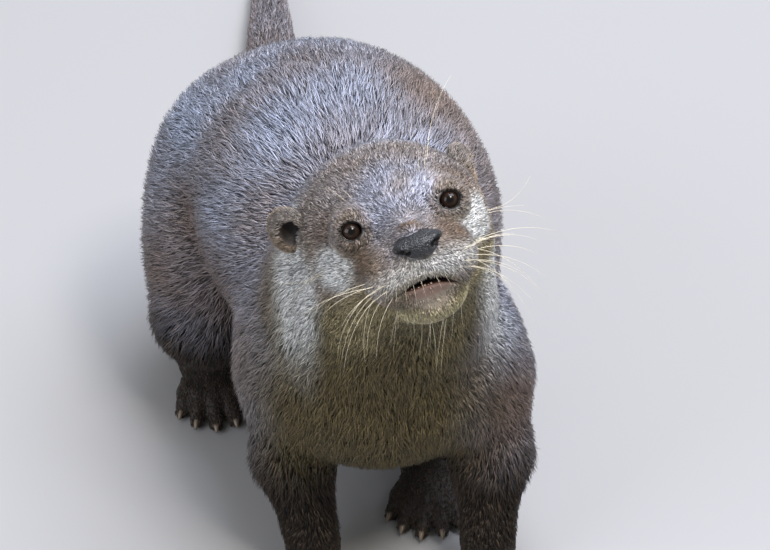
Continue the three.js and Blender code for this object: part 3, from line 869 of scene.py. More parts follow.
def lids_and_lips(p, q):
    """Where they are cut to 0.25 mm."""
    lips = (np.abs(over_lips(q)) < 3.6) & (np.abs(q[:, 1] + 2) < 16) & (q[:, 0] > 10)
    return (eye_distance(q) < 8.5) | lips


def make_skin():
    """Bags, melted by a remesh, settled, cut finer three times, and last of all the mouth parted."""
    points, faces = bags()
    skin = make_mesh("skin", points, faces, bpy.data.materials.new("draft"), closed=False)
    remesh = skin.modifiers.new("melt", "REMESH")
    remesh.mode, remesh.voxel_size = "VOXEL", VOXEL * MM
    bpy.context.view_layer.update()
    melted = bpy.data.meshes.new_from_object(skin.evaluated_get(bpy.context.evaluated_depsgraph_get()))
    skin.modifiers.clear()
    skin.data = melted
    melted.name = "skin"
    for finer, rounds in ((head_and_paws, 4), (muzzle_and_eyes, 3), (lids_and_lips, 3)):
        points = settle(bare, read_mesh(melted), rounds)
        write_mesh(melted, points)
        divide(melted, finer(points, in_head(points)))
        print("skin settled,", len(melted.polygons), "faces after", finer.__name__)
    points = part_lips(settle(bare, read_mesh(melted), 3))
    points[:, 2] = np.maximum(points[:, 2], 0)
    write_mesh(melted, points)
    melted.shade_smooth()
    return skin


skin = make_skin()
print("skin:", len(skin.data.polygons), "faces")
FLESH = [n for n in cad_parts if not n.startswith(("eye", "ear", "nose"))]
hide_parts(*FLESH)

# %% [markdown]
# ## The markings
# A small-clawed otter is grey-brown above, with a bluish painted reflection where the smooth hairs catch
# the sky. Its cheeks, upper lip and the sides of its neck are nearly white, its chin is cream, and the
# throat and chest are olive; the legs are darkened as painted shadow. An image would need painting; here
# the skin and every hair take their colour from one function of place, so they agree. It lays soft
# patches over each other, later ones over earlier ones.

# %% Colours of the coat
# Some colours stand in for light: the bluish sheen is a painted reflection, leg is dark as painted shadow,
# dark is painted shade in the mouth, and jaw, pad and lip are lightened as painted light.
PELT = dict(
    back="#8c7a70", sky_sheen="#b2bed6", warm="#857264", flank="#80706a", chest="#776c49", throat="#8a825e",
    white="#f2f5f5", cream="#e2d8ae", crown="#b3b8ca", temple="#a5937e", brown="#77624f", leg="#1c160e",
    paw="#322c27", dark="#140d0c", lid="#1d1817", strip="#a0947f", lip="#c9a698", gum="#80544a",
    ear="#85807c", pad="#d6c8bb", jaw="#b3a880",
)
PELT = {name: np.array(srgb(value)[:3]) for name, value in PELT.items()}


def waves(p, size, seed, count=7):
    """Soft noise from -1 to 1: the mean of sine waves that cross at random, about size mm long."""
    rng = np.random.default_rng(seed)
    ways = rng.normal(size=(count, 3))
    ways *= (rng.uniform(0.7, 1.5, count) / np.linalg.norm(ways, axis=1))[:, None] * 2 * np.pi / size
    return np.sin(p @ ways.T + rng.uniform(0, 2 * np.pi, count)).mean(axis=1) * 1.6


def patch(q, centre, radii, soft=0.5):
    """1 in an egg-shaped patch of the head and 0 outside it, with a soft edge."""
    far = np.linalg.norm((q - np.array(centre)) / np.array(radii), axis=1)
    return ramp(far, 1 + soft, 1 - soft)


def pair(q, centre, radii, soft=0.5):
    """The same patch on both sides of the head."""
    return patch(np.stack([q[:, 0], np.abs(q[:, 1]), q[:, 2]], axis=1), centre, radii, soft)


def on_head(p, q):
    """1 on the head and 0 on the trunk, changing over the neck behind the cheeks."""
    return ramp(q[:, 0], -66, -40) * ramp(q[:, 2], -58, -36)


def layers(colour, *coats):
    """Lays colours over a first one in order: each has a name, and a share from 0 to 1 at each point."""
    for name, share in coats:
        colour = mix(colour, PELT[name], share)
    return colour


def trunk_colour(p, n):
    """A back with a painted sky sheen and warm patches, duller flanks, an olive chest and belly, and dark
    paws and legs, the legs darkened further as painted shadow.
    """
    up, side = n[:, 2], np.abs(p[:, 0] + 12)
    # painted reflection: the bluish sheen of the sky on the hairs, strongest where the skin faces up
    sky_sheen = np.clip(0.30 + 0.50 * ramp(up, -0.1, 0.9) + 0.35 * waves(p, 60, 1), 0, 1)
    return layers(
        mix(PELT["back"], PELT["sky_sheen"], sky_sheen),
        ("warm", 0.5 * ramp(waves(p, 75, 2), 0.1, 0.8) * ramp(up, 0.2, 0.8) * ramp(p[:, 1], 230, 180)),
        ("warm", 0.7 * ramp(p[:, 0], -40, 20) * ramp(p[:, 1], 50, 120)),
        ("flank", 0.8 * ramp(up, 0.35, -0.35) * ramp(p[:, 1], 20, 70)),
        ("chest", ramp(p[:, 1], 52, 8) * ramp(up, 0.55, 0.1) * ramp(side, 60, 28)),
        ("chest", 0.7 * ramp(up, -0.3, -0.8)),  # the belly
        # painted shadow: the legs darken to near black towards the floor
        ("leg", ramp(p[:, 2], 80, 42) * ramp(p[:, 1], 225, 190)),
        ("paw", ramp(p[:, 2], 24, 12) * ramp(p[:, 1], 215, 195)),
        ("flank", 0.6 * ramp(p[:, 1], 200, 300)),  # the tail
    )


def head_colour(p, q):
    """Grey-blue along the top of the head, brown at the temples, greyer under the jaw."""
    top = np.clip(0.3 + 0.6 * ramp(q[:, 2], -8, 7) + 0.3 * waves(p, 22, 3), 0, 1)
    middle = ramp(np.abs(q[:, 1] - 1), 19, 10) * ramp(q[:, 0], -34, -14)
    face = mix(PELT["temple"], mix(PELT["temple"], PELT["crown"], top), 0.45 + 0.55 * middle)
    return mix(face, PELT["throat"], ramp(q[:, 2], -20, -33))


print(len(PELT), "colours in the coat")

# %% [markdown]
# ## Patches of the face
# No two cheeks are alike, so the white cheek patches are set one by one. The white of the neck and of
# the cheeks breaks up into streaks, as pale hairs over darker ones do.

# %% Patches of the face, the eyes and the mouth
def face_layers(p, q):
    """From the jaw over the neck and cheeks to the nose."""
    out = np.abs(p[:, 0] - 1.5)
    neck = ramp(out, 27, 37) * ramp(out, 52, 41) * ramp(p[:, 2], 100, 155) * ramp(p[:, 2], 184, 164)
    streaks = 1 + 0.4 * waves(p, 6, 8)
    return [
        # tan fur of the jaw; the patch under the whisker pads is also lightened as painted light, where the
        # jaw's underside lies in shade
        ("jaw", 0.85 * pair(q, (-14, 34, -36), (20, 12, 13), 0.4)),
        ("jaw", 0.75 * pair(q, (-2, 23, -27), (15, 10, 9), 0.6)),
        ("white", np.clip(neck * (1.2 + 0.35 * waves(p, 14, 5)), 0, 0.95) * ramp(p[:, 1], 30, 8)),
        ("throat", 0.8 * patch(q, (-14, 0, -46), (26, 15, 16))),
        ("brown", 0.8 * patch(q, (8, -21, -9), (10, 8, 8))),  # between eye and lip, one side and the other
        ("brown", 0.8 * patch(q, (14, 16, -7), (8, 7, 7))),
        ("brown", 0.55 * pair(q, (-12, 28, 5), (8, 7, 9))),  # before the ears
        ("white", np.clip(streaks * patch(q, (-6.5, -31, -10.5), (12, 11, 8.5)), 0, 1)),  # right cheek
        ("white", np.clip(streaks * patch(q, (-2, 27.5, -11), (15, 10, 8.5)), 0, 1)),  # left cheek
        ("white", 0.55 * patch(q, (24, 0, -15), (10, 16, 6.5), 0.4)),  # the upper lip and its two sides
        ("white", 0.8 * patch(q, (15, 13, -17), (11, 11, 5.5))),
        ("white", 0.5 * patch(q, (15, -13, -17), (11, 11, 5.5))),
        ("throat", 0.5 * ramp(mouth_gap(q), 4, 1.5) * ramp(q[:, 0], 10, 18) * on_head(p, q)),  # lips' shade
        ("cream", 0.9 * patch(q, (12, 0, -33), (17, 17, 7.5), 0.4)),  # the chin
        ("brown", (0.65 + 0.5 * waves(p, 5, 6)) * patch(q, (22.5, 0.6, 1.2), (4.0, 6, 2.6), 0.6)),
        ("crown", 0.7 * patch(q, (25.5, 0.6, -1.3), (3, 6.5, 1.1))),  # under the brown over the nose
        ("brown", 0.2 * ramp(eye_distance(q), 10.5, 6.5)),
    ]


def eye_layers(q, s):
    """Pale strips over and under an eye, painted shade in its creases, and the black edges of its lids."""
    e = in_eye(q, s)
    off = off_edge(-s * e[:, 1], e[:, 2])
    close = (e[:, 0] > -3) & (off < 12)
    under = 0.35 * (ramp(-e[:, 2], 2, 5) * ramp(off, 1.0, 2.0) * ramp(off, 7.5, 4.5))
    over = 0.35 * ramp(e[:, 2], 2.5, 5) * ramp(off, 3.6, 2.6)
    return [
        ("strip", close * (under + over)),
        # painted shade: the lids darkened by the depth of their creases
        ("lid", close * np.clip(1.6 * eye_folds(q, s), 0, 0.85)),
        ("lid", close * ramp(off, 0.7, 0.15)),
    ]


def lower_lip(q):
    """1 on the bare pink edge of the lower lip."""
    return patch(q, (27, -0.5, MOUTH["up"] - 4.2), (6, 9.5, 3.1), 0.25)


def chin_pad(q):
    """1 on the thinly haired pad under the lower lip."""
    return patch(q, (26, 0.5, MOUTH["up"] - 7.8), (10, 10.5, 5.8), 0.3)


def mouth_layers(q):
    """The chin's thinly haired pad and the pink lower lip, both lightened as painted light, the gum, and the
    dark between the lips, which is painted shade.
    """
    gap = mouth_gap(q)
    inside = (np.abs(q[:, 1]) < 22) & (q[:, 0] > 8)
    return [
        # painted light: the pad and lip are lighter than their skin, where the muzzle shades them
        ("pad", 0.8 * chin_pad(q)),
        ("lip", 0.85 * lower_lip(q)),
        ("gum", 0.8 * ramp(gap, 0.8, 0.3) * inside),
        # painted shade: near black in the parting between the lips and along the line where they close
        ("dark", np.maximum(ramp(gap, 0.15, -0.35), 0.8 * closed_lips(q)) * inside),
    ]


def markings(p, n):
    """Colour of the coat at each point: the trunk's, the head's over it, then ever smaller patches."""
    q = in_head(p)
    colour = mix(trunk_colour(p, n), head_colour(p, q), on_head(p, q))
    eyes = [layer for s in SIDES.values() for layer in eye_layers(q, s)]
    return layers(colour, *face_layers(p, q), *eyes, *mouth_layers(q))


print("linear colour of the chin:", markings(at_head([(20, 0, -36)]), np.array([[0, 0, -1.0]])).round(2))

# %% [markdown]
# ## The skin's own look
# Between the hairs one sees down to the underfur, dense and dull, in the hairs' shade. The skin therefore has
# the coat's own colours, darkened by the underfur and by painted shade where hair covers it and nearly full
# on the paws, with a grain of hair roots.

# %% The skin's own look
def mesh_normals(mesh):
    """The direction out of the surface at each of a mesh's points."""
    n = np.empty(len(mesh.vertices) * 3, np.float32)
    mesh.vertex_normals.foreach_get("vector", n)
    return n.reshape(-1, 3).astype(float)


def make_skin_material():
    """Hide under a dense underfur: dull and darker than the hairs' tips, as underfur and painted shade, with
    a fine grain of hair roots.
    """
    material, tree, shader, add = new_material("hide with underfur")
    colour = add("ShaderNodeAttribute", {"attribute_name": "markings"})
    coords = add("ShaderNodeTexCoord")
    # 0.45 mm grain: hair roots, a little coarser than real so that they show
    grain = add("ShaderNodeTexNoise", {"Scale": 2200.0, "Detail": 2.0}, {"Vector": coords.outputs["Object"]})
    spread = add("ShaderNodeMapRange", {"To Min": 0.62, "To Max": 1.15}, {"Value": grain.outputs["Fac"]})
    tinted = add("ShaderNodeMix", {"data_type": "RGBA", "blend_type": "MULTIPLY", "Factor": 1.0},
                 {6: colour.outputs["Color"], 7: spread.outputs["Result"]})
    bump = add("ShaderNodeBump", {"Strength": 0.5, "Distance": 0.0003}, {"Height": grain.outputs["Fac"]})
    tree.links.new(tinted.outputs[2], shader.inputs["Base Color"])
    tree.links.new(bump.outputs["Normal"], shader.inputs["Normal"])
    shader.inputs["Roughness"].default_value = 0.62
    shader.inputs["IOR"].default_value = 1.45
    return material


skin_points, skin_normals = read_mesh(skin.data), mesh_normals(skin.data)
skin_colours = markings(skin_points, skin_normals)
# underfur's own tone and painted shade between the hairs, deeper on the head
underfur_and_shade = 0.64 - 0.22 * on_head(skin_points, in_head(skin_points))  # its darkness between the hairs
thin = ramp(skin_points[:, 2], 22, 12) * (skin_points[:, 1] < 205)  # the paws' short coat hides little
set_attribute(skin, "markings", skin_colours * mix(underfur_and_shade, 0.9, thin)[:, None])
skin.data.materials.clear()
skin.data.materials.append(make_skin_material())
print("skin coloured at", len(skin_points), "points")

# %% [markdown]
# ## The eyes
# An otter's eye is small and nearly all iris: dark brown, with a black pupil and a black rim, under a clear
# wet cornea. A ball of rings round the way it looks is enough, and each ring's distance from that axis
# colours it. The cornea's shine comes from a clear coat on the same surface.

# %% Eyeballs
CORNEA = dict(height=0.45, spread=34)  # mm, degrees


def make_eyeball(s):
    """A ball whose radius swells by a bell curve round its gaze, which makes the cornea."""
    way, faces = ball_grid(46, 56)
    angle = np.degrees(np.arccos(np.clip(way[:, 2], -1, 1)))
    radius = EYE["radius"] + CORNEA["height"] * np.exp(-((angle / CORNEA["spread"]) ** 2))
    axes = eye_axes()
    turned = way[:, 2:] * axes[0] + way[:, :1] * axes[1] + way[:, 1:2] * axes[2]
    return at_head(eye_centre(s) + turned * radius[:, None]), faces, angle


def make_eye_material():
    """Iris and pupil under a wet cornea: colour by the angle from the gaze, shine from a clear coat."""
    material, tree, shader, add = new_material("wet eye")
    angle = add("ShaderNodeAttribute", {"attribute_name": "angle"})
    coords = add("ShaderNodeTexCoord")
    # fibres about 0.5 mm apart, coarser than real, let the iris's rings run in and out
    fibres = add("ShaderNodeTexNoise", {"Scale": 1800.0, "Detail": 3.0}, {"Vector": coords.outputs["Object"]})
    wobble = add("ShaderNodeMath", {"operation": "MULTIPLY_ADD", 1: 7.0, 2: -3.5}, {0: fibres.outputs["Fac"]})
    moved = add("ShaderNodeMath", {"operation": "ADD"}, {0: angle.outputs["Fac"], 1: wobble.outputs["Value"]})
    share = add("ShaderNodeMath", {"operation": "DIVIDE", 1: 60.0}, {0: moved.outputs["Value"]})
    bands = add("ShaderNodeValToRGB", {}, {"Fac": share.outputs["Value"]})
    stops = [(0.0, "#030202"), (0.20, "#040303"), (0.26, "#18110d"), (0.42, "#2d221c"), (0.60, "#231914"),
             (0.73, "#090505"), (1.0, "#050404")]
    for _ in stops[2:]:
        bands.color_ramp.elements.new(0.5)
    for element, (place, colour) in zip(bands.color_ramp.elements, stops):
        element.position, element.color = place, srgb(colour)
    tree.links.new(bands.outputs["Color"], shader.inputs["Base Color"])
    shader.inputs["Roughness"].default_value = 0.5
    shader.inputs["Specular IOR Level"].default_value = 0.0
    shader.inputs["Coat Weight"].default_value = 1.0
    shader.inputs["Coat Roughness"].default_value = 0.02
    shader.inputs["Coat IOR"].default_value = 1.34
    return material


eye_material = make_eye_material()
print("eyes:", 2 * EYE["radius"], "mm across")
for side, s in SIDES.items():
    points, faces, angle = make_eyeball(s)
    eye = make_mesh("eyeball_" + side, points, faces, eye_material)
    set_attribute(eye, "angle", angle)
    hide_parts("eye_" + side)

# %% [markdown]
# ## The rims of the lids
# Where the lid meets the eye there is a narrow edge of bare, wet, black skin. A round cord laid on the
# eyeball along the opening gives that edge; the skin of the lids rises from it to the creases. The same
# cord, tapered, later makes the teeth, the whiskers and the claws.

# %% Lid rims
RIM = 0.24  # mm, the cord's radius


def tube(path, radius, sides, closed=False):
    """A round cord: a ring of points square to the path at each of the path's points, and closed ends."""
    ahead = np.roll(path, -1, axis=0) if closed else np.concatenate([path[1:], path[-1:]])
    behind = np.roll(path, 1, axis=0) if closed else np.concatenate([path[:1], path[:-1]])
    way = ahead - behind
    way /= np.linalg.norm(way, axis=1, keepdims=True)
    helper = np.array([0.31, 0.53, 0.79])
    across = np.cross(way, helper)
    across /= np.linalg.norm(across, axis=1, keepdims=True)
    square = np.cross(way, across)
    turn = np.linspace(0, 2 * np.pi, sides, endpoint=False)
    radius = np.broadcast_to(np.asarray(radius, float), len(path))[:, None, None]
    ring = np.cos(turn)[None, :, None] * across[:, None] + np.sin(turn)[None, :, None] * square[:, None]
    points = (path[:, None] + ring * radius).reshape(-1, 3)
    if not closed:
        return np.concatenate([points, path[:1], path[-1:]]), shell_faces(len(path), sides)
    faces = shell_faces(len(path) + 1, sides)
    faces = faces[(faces < (len(path) + 1) * sides).all(axis=1)]
    return points, faces % len(points)


def make_rim(s):
    """The opening's edge laid on the eyeball: an oval drawn out and down to a point at the inner corner."""
    turn = np.linspace(0, 2 * np.pi, 72, endpoint=False)
    point = np.clip(np.cos(turn), 0, 1) ** 8
    inward = LIDS["opening"][0] * np.cos(turn) + 0.8 * point
    up = np.where(np.sin(turn) > 0, *LIDS["opening"][1:]) * np.sin(turn) - 0.5 * point
    out = np.sqrt(np.maximum((EYE["radius"] + 0.12) ** 2 - inward**2 - up**2, 1.0))
    path = at_head(eye_centre(s) + np.stack([out, -s * inward, up], axis=1) @ eye_axes())
    return tube(path, RIM, 10, closed=True)


rim_material, _, rim_shader, _ = new_material("bare wet skin")  # black skin under a film of tears
rim_shader.inputs["Base Color"].default_value = srgb("#141010")
rim_shader.inputs["Roughness"].default_value = 0.32
rim_shader.inputs["Coat Weight"].default_value = 0.4
for side, s in SIDES.items():
    make_mesh("lid_rim_" + side, *make_rim(s), rim_material)
print("lid rims:", 2 * RIM, "mm thick")

# %% [markdown]
# ## The nose
# The nose pad is bare, moist and dark blue-grey, with a pebbled skin, and its nostrils are slits at both ends
# that curl outward. It could be sculpted; here it is a ball whose every point is moved in or out along
# its own ray until it reaches the formula of three melted eggs with the nostrils taken out.

# %% Nose pad
NOSE = dict(  # centres and radii in the head's frame
    pad=[(25.5, 1.2, -4.4), (6, 10.4, 3.1)],
    upper=[(22.5, 1, -4.4), (6, 7.4, 2.8)],
    lower=[(26.3, 2.1, -7.4), (4.8, 5.9, 3.1)],
)
NOSTRIL = dict(  # points and radii of the left one, mirrored over the middle for the right one
    middle=1.3,
    slit=[((30.4, 5.0, -6.9), 1.15), ((29.5, 7.6, -5.8), 1.4), ((27.4, 10.4, -3.8), 1.25)],
    deep=[((30.6, 5.9, -6.6), 1.6), ((24.5, 5.2, -5.8), 1.1)],
)


def nose_pad(q):
    """Three melted eggs."""
    return blend([ellipsoid(q, m) for m in NOSE.values()], 3)


def nose_field(q):
    """The pad less a curled slit with a deep inner end on each side, and a faint groove below the middle."""
    across = q[:, 1] - NOSTRIL["middle"]
    mirrored = np.stack([q[:, 0], np.abs(across), q[:, 2]], axis=1)
    slit = blend(chain(mirrored, NOSTRIL["slit"]) + chain(mirrored, NOSTRIL["deep"]), 0.8)
    groove = 0.4 * np.exp(-((across / 0.4) ** 2)) * ramp(q[:, 2], -7.0, -9.5)
    return carve(nose_pad(q) + groove, slit, 0.7)


def make_nose():
    """A ball of rings moved along its rays to the field's edge, and how deep each point lies in a nostril.
    Each round halves the stretch of the ray in which the edge lies."""
    way, faces = ball_grid(116, 150)
    way = way[:, [2, 0, 1]]
    start = np.array([22.0, NOSTRIL["middle"], -4.8])  # inside all three eggs
    near, far = np.zeros(len(way)), np.full(len(way), 14.0)
    for _ in range(18):
        half = (near + far) / 2
        outside = nose_field(start + way * half[:, None]) > 0
        near, far = np.where(outside, near, half), np.where(outside, half, far)
    q = start + way * near[:, None]
    return at_head(q), faces, ramp(-nose_pad(q), 0.1, 0.9)


def make_nose_material():
    """Rhinarium: bare skin in pebbles about 0.8 mm across, coarser than real, and moist enough to shine;
    nearly black deep in the nostrils as painted shade.
    """
    material, tree, shader, add = new_material("moist nose leather")
    coords = add("ShaderNodeTexCoord")
    pebbles = add("ShaderNodeTexVoronoi", {"Scale": 1300.0}, {"Vector": coords.outputs["Object"]})
    cloud = add("ShaderNodeTexNoise", {"Scale": 260.0, "Detail": 3.0}, {"Vector": coords.outputs["Object"]})
    hollow = add("ShaderNodeAttribute", {"attribute_name": "hollow"})
    tone = add("ShaderNodeMix", {"data_type": "RGBA", 6: srgb("#090b0f"), 7: srgb("#1b212a")},
               {0: cloud.outputs["Fac"]})
    # painted shade: nearly black deep inside the nostrils
    dark = add("ShaderNodeMix", {"data_type": "RGBA", 7: srgb("#080505")},
               {0: hollow.outputs["Fac"], 6: tone.outputs[2]})
    bump = add("ShaderNodeBump", {"Strength": 1.0, "Distance": 0.0006, "invert": True},
               {"Height": pebbles.outputs["Distance"]})
    tree.links.new(dark.outputs[2], shader.inputs["Base Color"])
    tree.links.new(bump.outputs["Normal"], shader.inputs["Normal"])
    shader.inputs["Roughness"].default_value = 0.36
    shader.inputs["Coat Weight"].default_value = 0.25
    shader.inputs["Coat Roughness"].default_value = 0.2
    return material


points, faces, hollow = make_nose()
nose = make_mesh("nose_pad", points, faces, make_nose_material())
set_attribute(nose, "hollow", hollow)
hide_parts("nose")
print("nose pad:", len(faces), "triangles")

# %% [markdown]
# ## The teeth
# The lips are parted by little more than 3 mm, and the tips of the lower front teeth show over the lower
# lip. Only those are made: small blunt pegs in a row that follows the lip, each a tapered cord.

# %% Lower front teeth
TEETH = dict(  # mm to the otter's left of its head's middle, and how tall each stands
    across=(-7.4, -4.6, -3.3, -2.1, -0.7, 0.5, 3.9), tall=(2.0, 1.5, 1.1, 1.7, 1.2, 1.6, 1.8), radius=0.62,
)


def make_teeth():
    """Tapered cords from below the lip line up into the parting: two canines outside five incisors."""
    made = []
    for across, tall in zip(TEETH["across"], TEETH["tall"]):
        t = np.linspace(0, 1, 6)[:, None]
        lip = -over_lips(np.array([[0.0, across, 0.0]]))[0]
        foot = np.array([25.6 - 0.035 * (across + 2.2) ** 2, across, lip - 2.9])
        path = foot + np.array([0.1, 0, 1.0]) * tall * t
        made.append(tube(at_head(path), TEETH["radius"] * (1 - 0.5 * t[:, 0] ** 2), 8))
    return put_together(made)


tooth_material, _, tooth_shader, _ = new_material("tooth enamel")  # wet, in the mouth's shade
tooth_shader.inputs["Base Color"].default_value = srgb("#a8968a")
tooth_shader.inputs["Roughness"].default_value = 0.3
tooth_shader.inputs["IOR"].default_value = 1.62
make_mesh("teeth", *make_teeth(), tooth_material)
print(len(TEETH["tall"]), "teeth")

# %% [markdown]
# ## The ears
# Otters' ears are small round cups set low on the sides of the head. Each is a closed ball of rings,
# flattened, with its front pushed in to make the hollow. The hair that makes its back and rim pale
# comes with the coat; the shell's own skin is dark, and nearly black in the hollow as painted shade.

# %% Ear shells
EAR = dict(
    forward=-40, up=dict(right=4.4, left=2.2), height=17, width=14, thickness=4.4,
    side=dict(right=41, left=33.5), turn=dict(right=20, left=100),
)
HOLLOW = dict(towards_head=0.24, down=0.16, radius=0.68, depth=1.25)  # shares of the ear's own size


def make_ear(side):
    """A flattened ball whose front is pushed in, over a circle set towards the head, by 1 less the square of
    the distance from the circle's middle."""
    s = SIDES[side]
    way, faces = ball_grid(56, 64)
    across, height, depth = way[:, 0], way[:, 1], way[:, 2]
    wall = np.sqrt(np.maximum(1 - across**2 - height**2, 0))
    far = np.hypot(across + s * HOLLOW["towards_head"], height + HOLLOW["down"]) / HOLLOW["radius"]
    dip = HOLLOW["depth"] * np.clip(1 - far**2, 0, 1)
    thick = EAR["thickness"] * np.where(depth > 0, wall - dip, -wall)
    local = np.stack([thick, EAR["width"] / 2 * across, EAR["height"] / 2 * height], axis=1)
    turn = math.radians(s * EAR["turn"][side])
    spin = np.array([[math.cos(turn), math.sin(turn), 0], [-math.sin(turn), math.cos(turn), 0], [0, 0, 1]])
    place = np.array([EAR["forward"], s * EAR["side"][side], EAR["up"][side]])
    return at_head(local @ spin + place), faces, ramp(far, 1.0, 0.7) * (depth > 0)


def make_ear_material():
    """Thin, dull skin: grey-brown where the hair grows over it, nearly black in the hollow as painted shade.
    """
    material, tree, shader, add = new_material("ear skin")
    hollow = add("ShaderNodeAttribute", {"attribute_name": "hollow"})
    # painted shade: nearly black in the ear's hollow
    tone = add("ShaderNodeMix", {"data_type": "RGBA", 6: srgb("#3f3733"), 7: srgb("#140e0c")},
               {0: hollow.outputs["Fac"]})
    coords = add("ShaderNodeTexCoord")
    grain = add("ShaderNodeTexNoise", {"Scale": 2000.0}, {"Vector": coords.outputs["Object"]})
    bump = add("ShaderNodeBump", {"Strength": 0.4, "Distance": 0.0003}, {"Height": grain.outputs["Fac"]})
    tree.links.new(tone.outputs[2], shader.inputs["Base Color"])
    tree.links.new(bump.outputs["Normal"], shader.inputs["Normal"])
    shader.inputs["Roughness"].default_value = 0.7
    return material


ear_material = make_ear_material()
ears = {}
for side in SIDES:
    points, faces, hollow = make_ear(side)
    ears[side] = make_mesh("ear_shell_" + side, points, faces, ear_material)
    set_attribute(ears[side], "hollow", hollow)
    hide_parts("ear_" + side)
print("ears:", EAR["width"], "by", EAR["height"], "mm")

# %% [markdown]
# ## The coat
# Real fur would be curves or particles in Blender, but those don't leave Blender with the model. So each
# tuft is a small closed mesh: a three-sided spike that rises from the skin, bends, and lies back along the
# body. First comes the lie of the hair: it runs from the nose backwards, and turns down the legs, out
# along the tail and away from the eyes.

# %% Which way the hair lies
def flow(p, n):
    """Away from the nose, turned by each of a list of directions in its place, and laid in the skin."""
    way = p - at_head((24, 0, -4))
    way /= np.linalg.norm(way, axis=1, keepdims=True)
    q = in_head(p)
    from_brow = (q - np.array([14, 0, 6])) @ AXES
    from_brow /= np.linalg.norm(from_brow, axis=1, keepdims=True)
    way = mix(way, from_brow, 0.6 * on_head(p, q) * ramp(q[:, 2], -8, 8))
    turns = [  # a direction to turn to, and how much of the turn is made at each point
        ((0.0, 0.1, -1.0), 0.75 * ramp(p[:, 2], 78, 45) * ramp(p[:, 1], 215, 180)),
        ((0.0, 0.1, -1.0), 0.45 * ramp(p[:, 1], 55, 10) * ramp(p[:, 2], 165, 140)),
        ((-0.06, 0.9, -0.35), ramp(p[:, 1], 120, 210)),
        ((-0.05, 1.0, -0.05), ramp(p[:, 1], 230, 290)),
        ((0.0, -1.0, -0.15), ramp(p[:, 2], 24, 12) * ramp(p[:, 1], 215, 195)),
    ]
    for turn, share in turns:
        way = mix(way, np.broadcast_to(np.array(turn), way.shape), share)
    for s in SIDES.values():
        e = in_eye(q, s)
        ring = np.linalg.norm(e[:, 1:], axis=1, keepdims=True)
        outwards = (e * np.array([0, 1, 1]) / np.maximum(ring, 0.1)) @ eye_axes() @ AXES
        way = mix(way, outwards, 0.5 * ramp(ring[:, 0], 10, 5) * (np.abs(e[:, 0]) < 9))
    return into_skin(way, n)


def into_skin(way, n):
    """Lays directions flat in the skin, at length 1."""
    way = way - n * np.einsum("ij,ij->i", way, n)[:, None]
    return way / np.maximum(np.linalg.norm(way, axis=1, keepdims=True), 1e-6)


print("hair on the crown runs towards", flow(crown, np.array([[0, 0, 1.0]])).round(2))

# %% [markdown]
# ## How long, wide and close the tufts are
# Length, width, lift and colour are smooth functions of where a tuft stands. Roots are strewn by chance,
# more closely where the fur is short, and nowhere on the nose, the lips, the lids' edges and the soles.

# %% How long, wide and close the tufts are
def on_paw(p):
    """1 on the four paws and 0 above them."""
    return ramp(p[:, 2], 30, 16) * ramp(p[:, 1], 215, 195)


def tuft_length(depth):
    """In mm, about twice the coat's depth, because the tufts lie over."""
    return 0.9 + 2.15 * depth


def tuft_width(p, depth):
    """Tufts are as wide as a few hairs: finest on the face, coarser where a paw's short coat lies flat."""
    return 0.31 + 0.045 * depth + 0.1 * on_paw(p)


def cover(p):
    """How many tufts deep the coat is, on average."""
    thick = mix(np.full(len(p), 3.1), 1.95, ramp(p[:, 1], 190, 240))
    thick = mix(thick, 2.2, ramp(p[:, 2], 62, 45))
    return mix(thick, 0.6, on_paw(p)) * 1


def hairy(p, q):
    """1 where hair grows and 0 on bare skin: lids' edges, lower lip, mouth, nose and soles."""
    share = np.ones(len(p))
    for s in SIDES.values():
        e = in_eye(q, s)
        share *= 1 - ramp(off_edge(-s * e[:, 1], e[:, 2]), 0.9, 0.4) * (np.abs(e[:, 0]) < 9)
    front = (q[:, 0] > 0) & (np.abs(q[:, 1]) < 25)
    share = np.where(front, share * ramp(mouth_gap(q), 0.3, 0.9) * (1 - closed_lips(q)), share)
    share *= 1 - 0.97 * lower_lip(q) - 0.9 * chin_pad(q) * (1 - lower_lip(q))
    close = front & (q[:, 0] > 12)
    share[close] *= ramp(nose_pad(q[close]), -0.3, 0.3)
    return share * ramp(p[:, 2], 0.6, 1.6)


def strew(mesh, density, rng):
    """Roots over a mesh: each triangle gets its area times the tufts per square mm, spread evenly in it."""
    mesh.calc_loop_triangles()
    corners = np.empty(len(mesh.loop_triangles) * 3, np.int32)
    mesh.loop_triangles.foreach_get("vertices", corners)
    corners = corners.reshape(-1, 3)
    points, normals = read_mesh(mesh), mesh_normals(mesh)
    a, b, c = (points[corners[:, i]] for i in range(3))
    expected = np.linalg.norm(np.cross(b - a, c - a), axis=1) / 2 * density((a + b + c) / 3)
    which = np.searchsorted(np.cumsum(expected), np.sort(rng.uniform(0, expected.sum(), int(expected.sum()))))
    which = np.minimum(which, len(corners) - 1)
    u, v = rng.uniform(size=(2, len(which), 1))
    over = u + v > 1
    u, v = np.where(over, 1 - u, u), np.where(over, 1 - v, v)
    pick, w = corners[which], 1 - u - v
    roots = points[pick[:, 0]] * w + points[pick[:, 1]] * u + points[pick[:, 2]] * v
    n = normals[pick[:, 0]] * w + normals[pick[:, 1]] * u + normals[pick[:, 2]] * v
    return roots, n / np.linalg.norm(n, axis=1, keepdims=True)


def coat_density(p):
    """Tufts per square mm: how many lie over each other, over the area that one covers."""
    depth = coat_depth(p)
    return cover(p) * hairy(p, in_head(p)) / (0.5 * tuft_length(depth) * tuft_width(p, depth))


print("tufts from", tuft_length(DEPTH["lip"]), "to", tuft_length(DEPTH["body"]), "mm long")

# %% [markdown]
# ## One tuft's shape
# A tuft has five points and six faces: a root below the skin, a ring of three, and a tip. There are nearly
# a quarter of a million, and a piece's tufts are worked out as one array, by the same few sums.

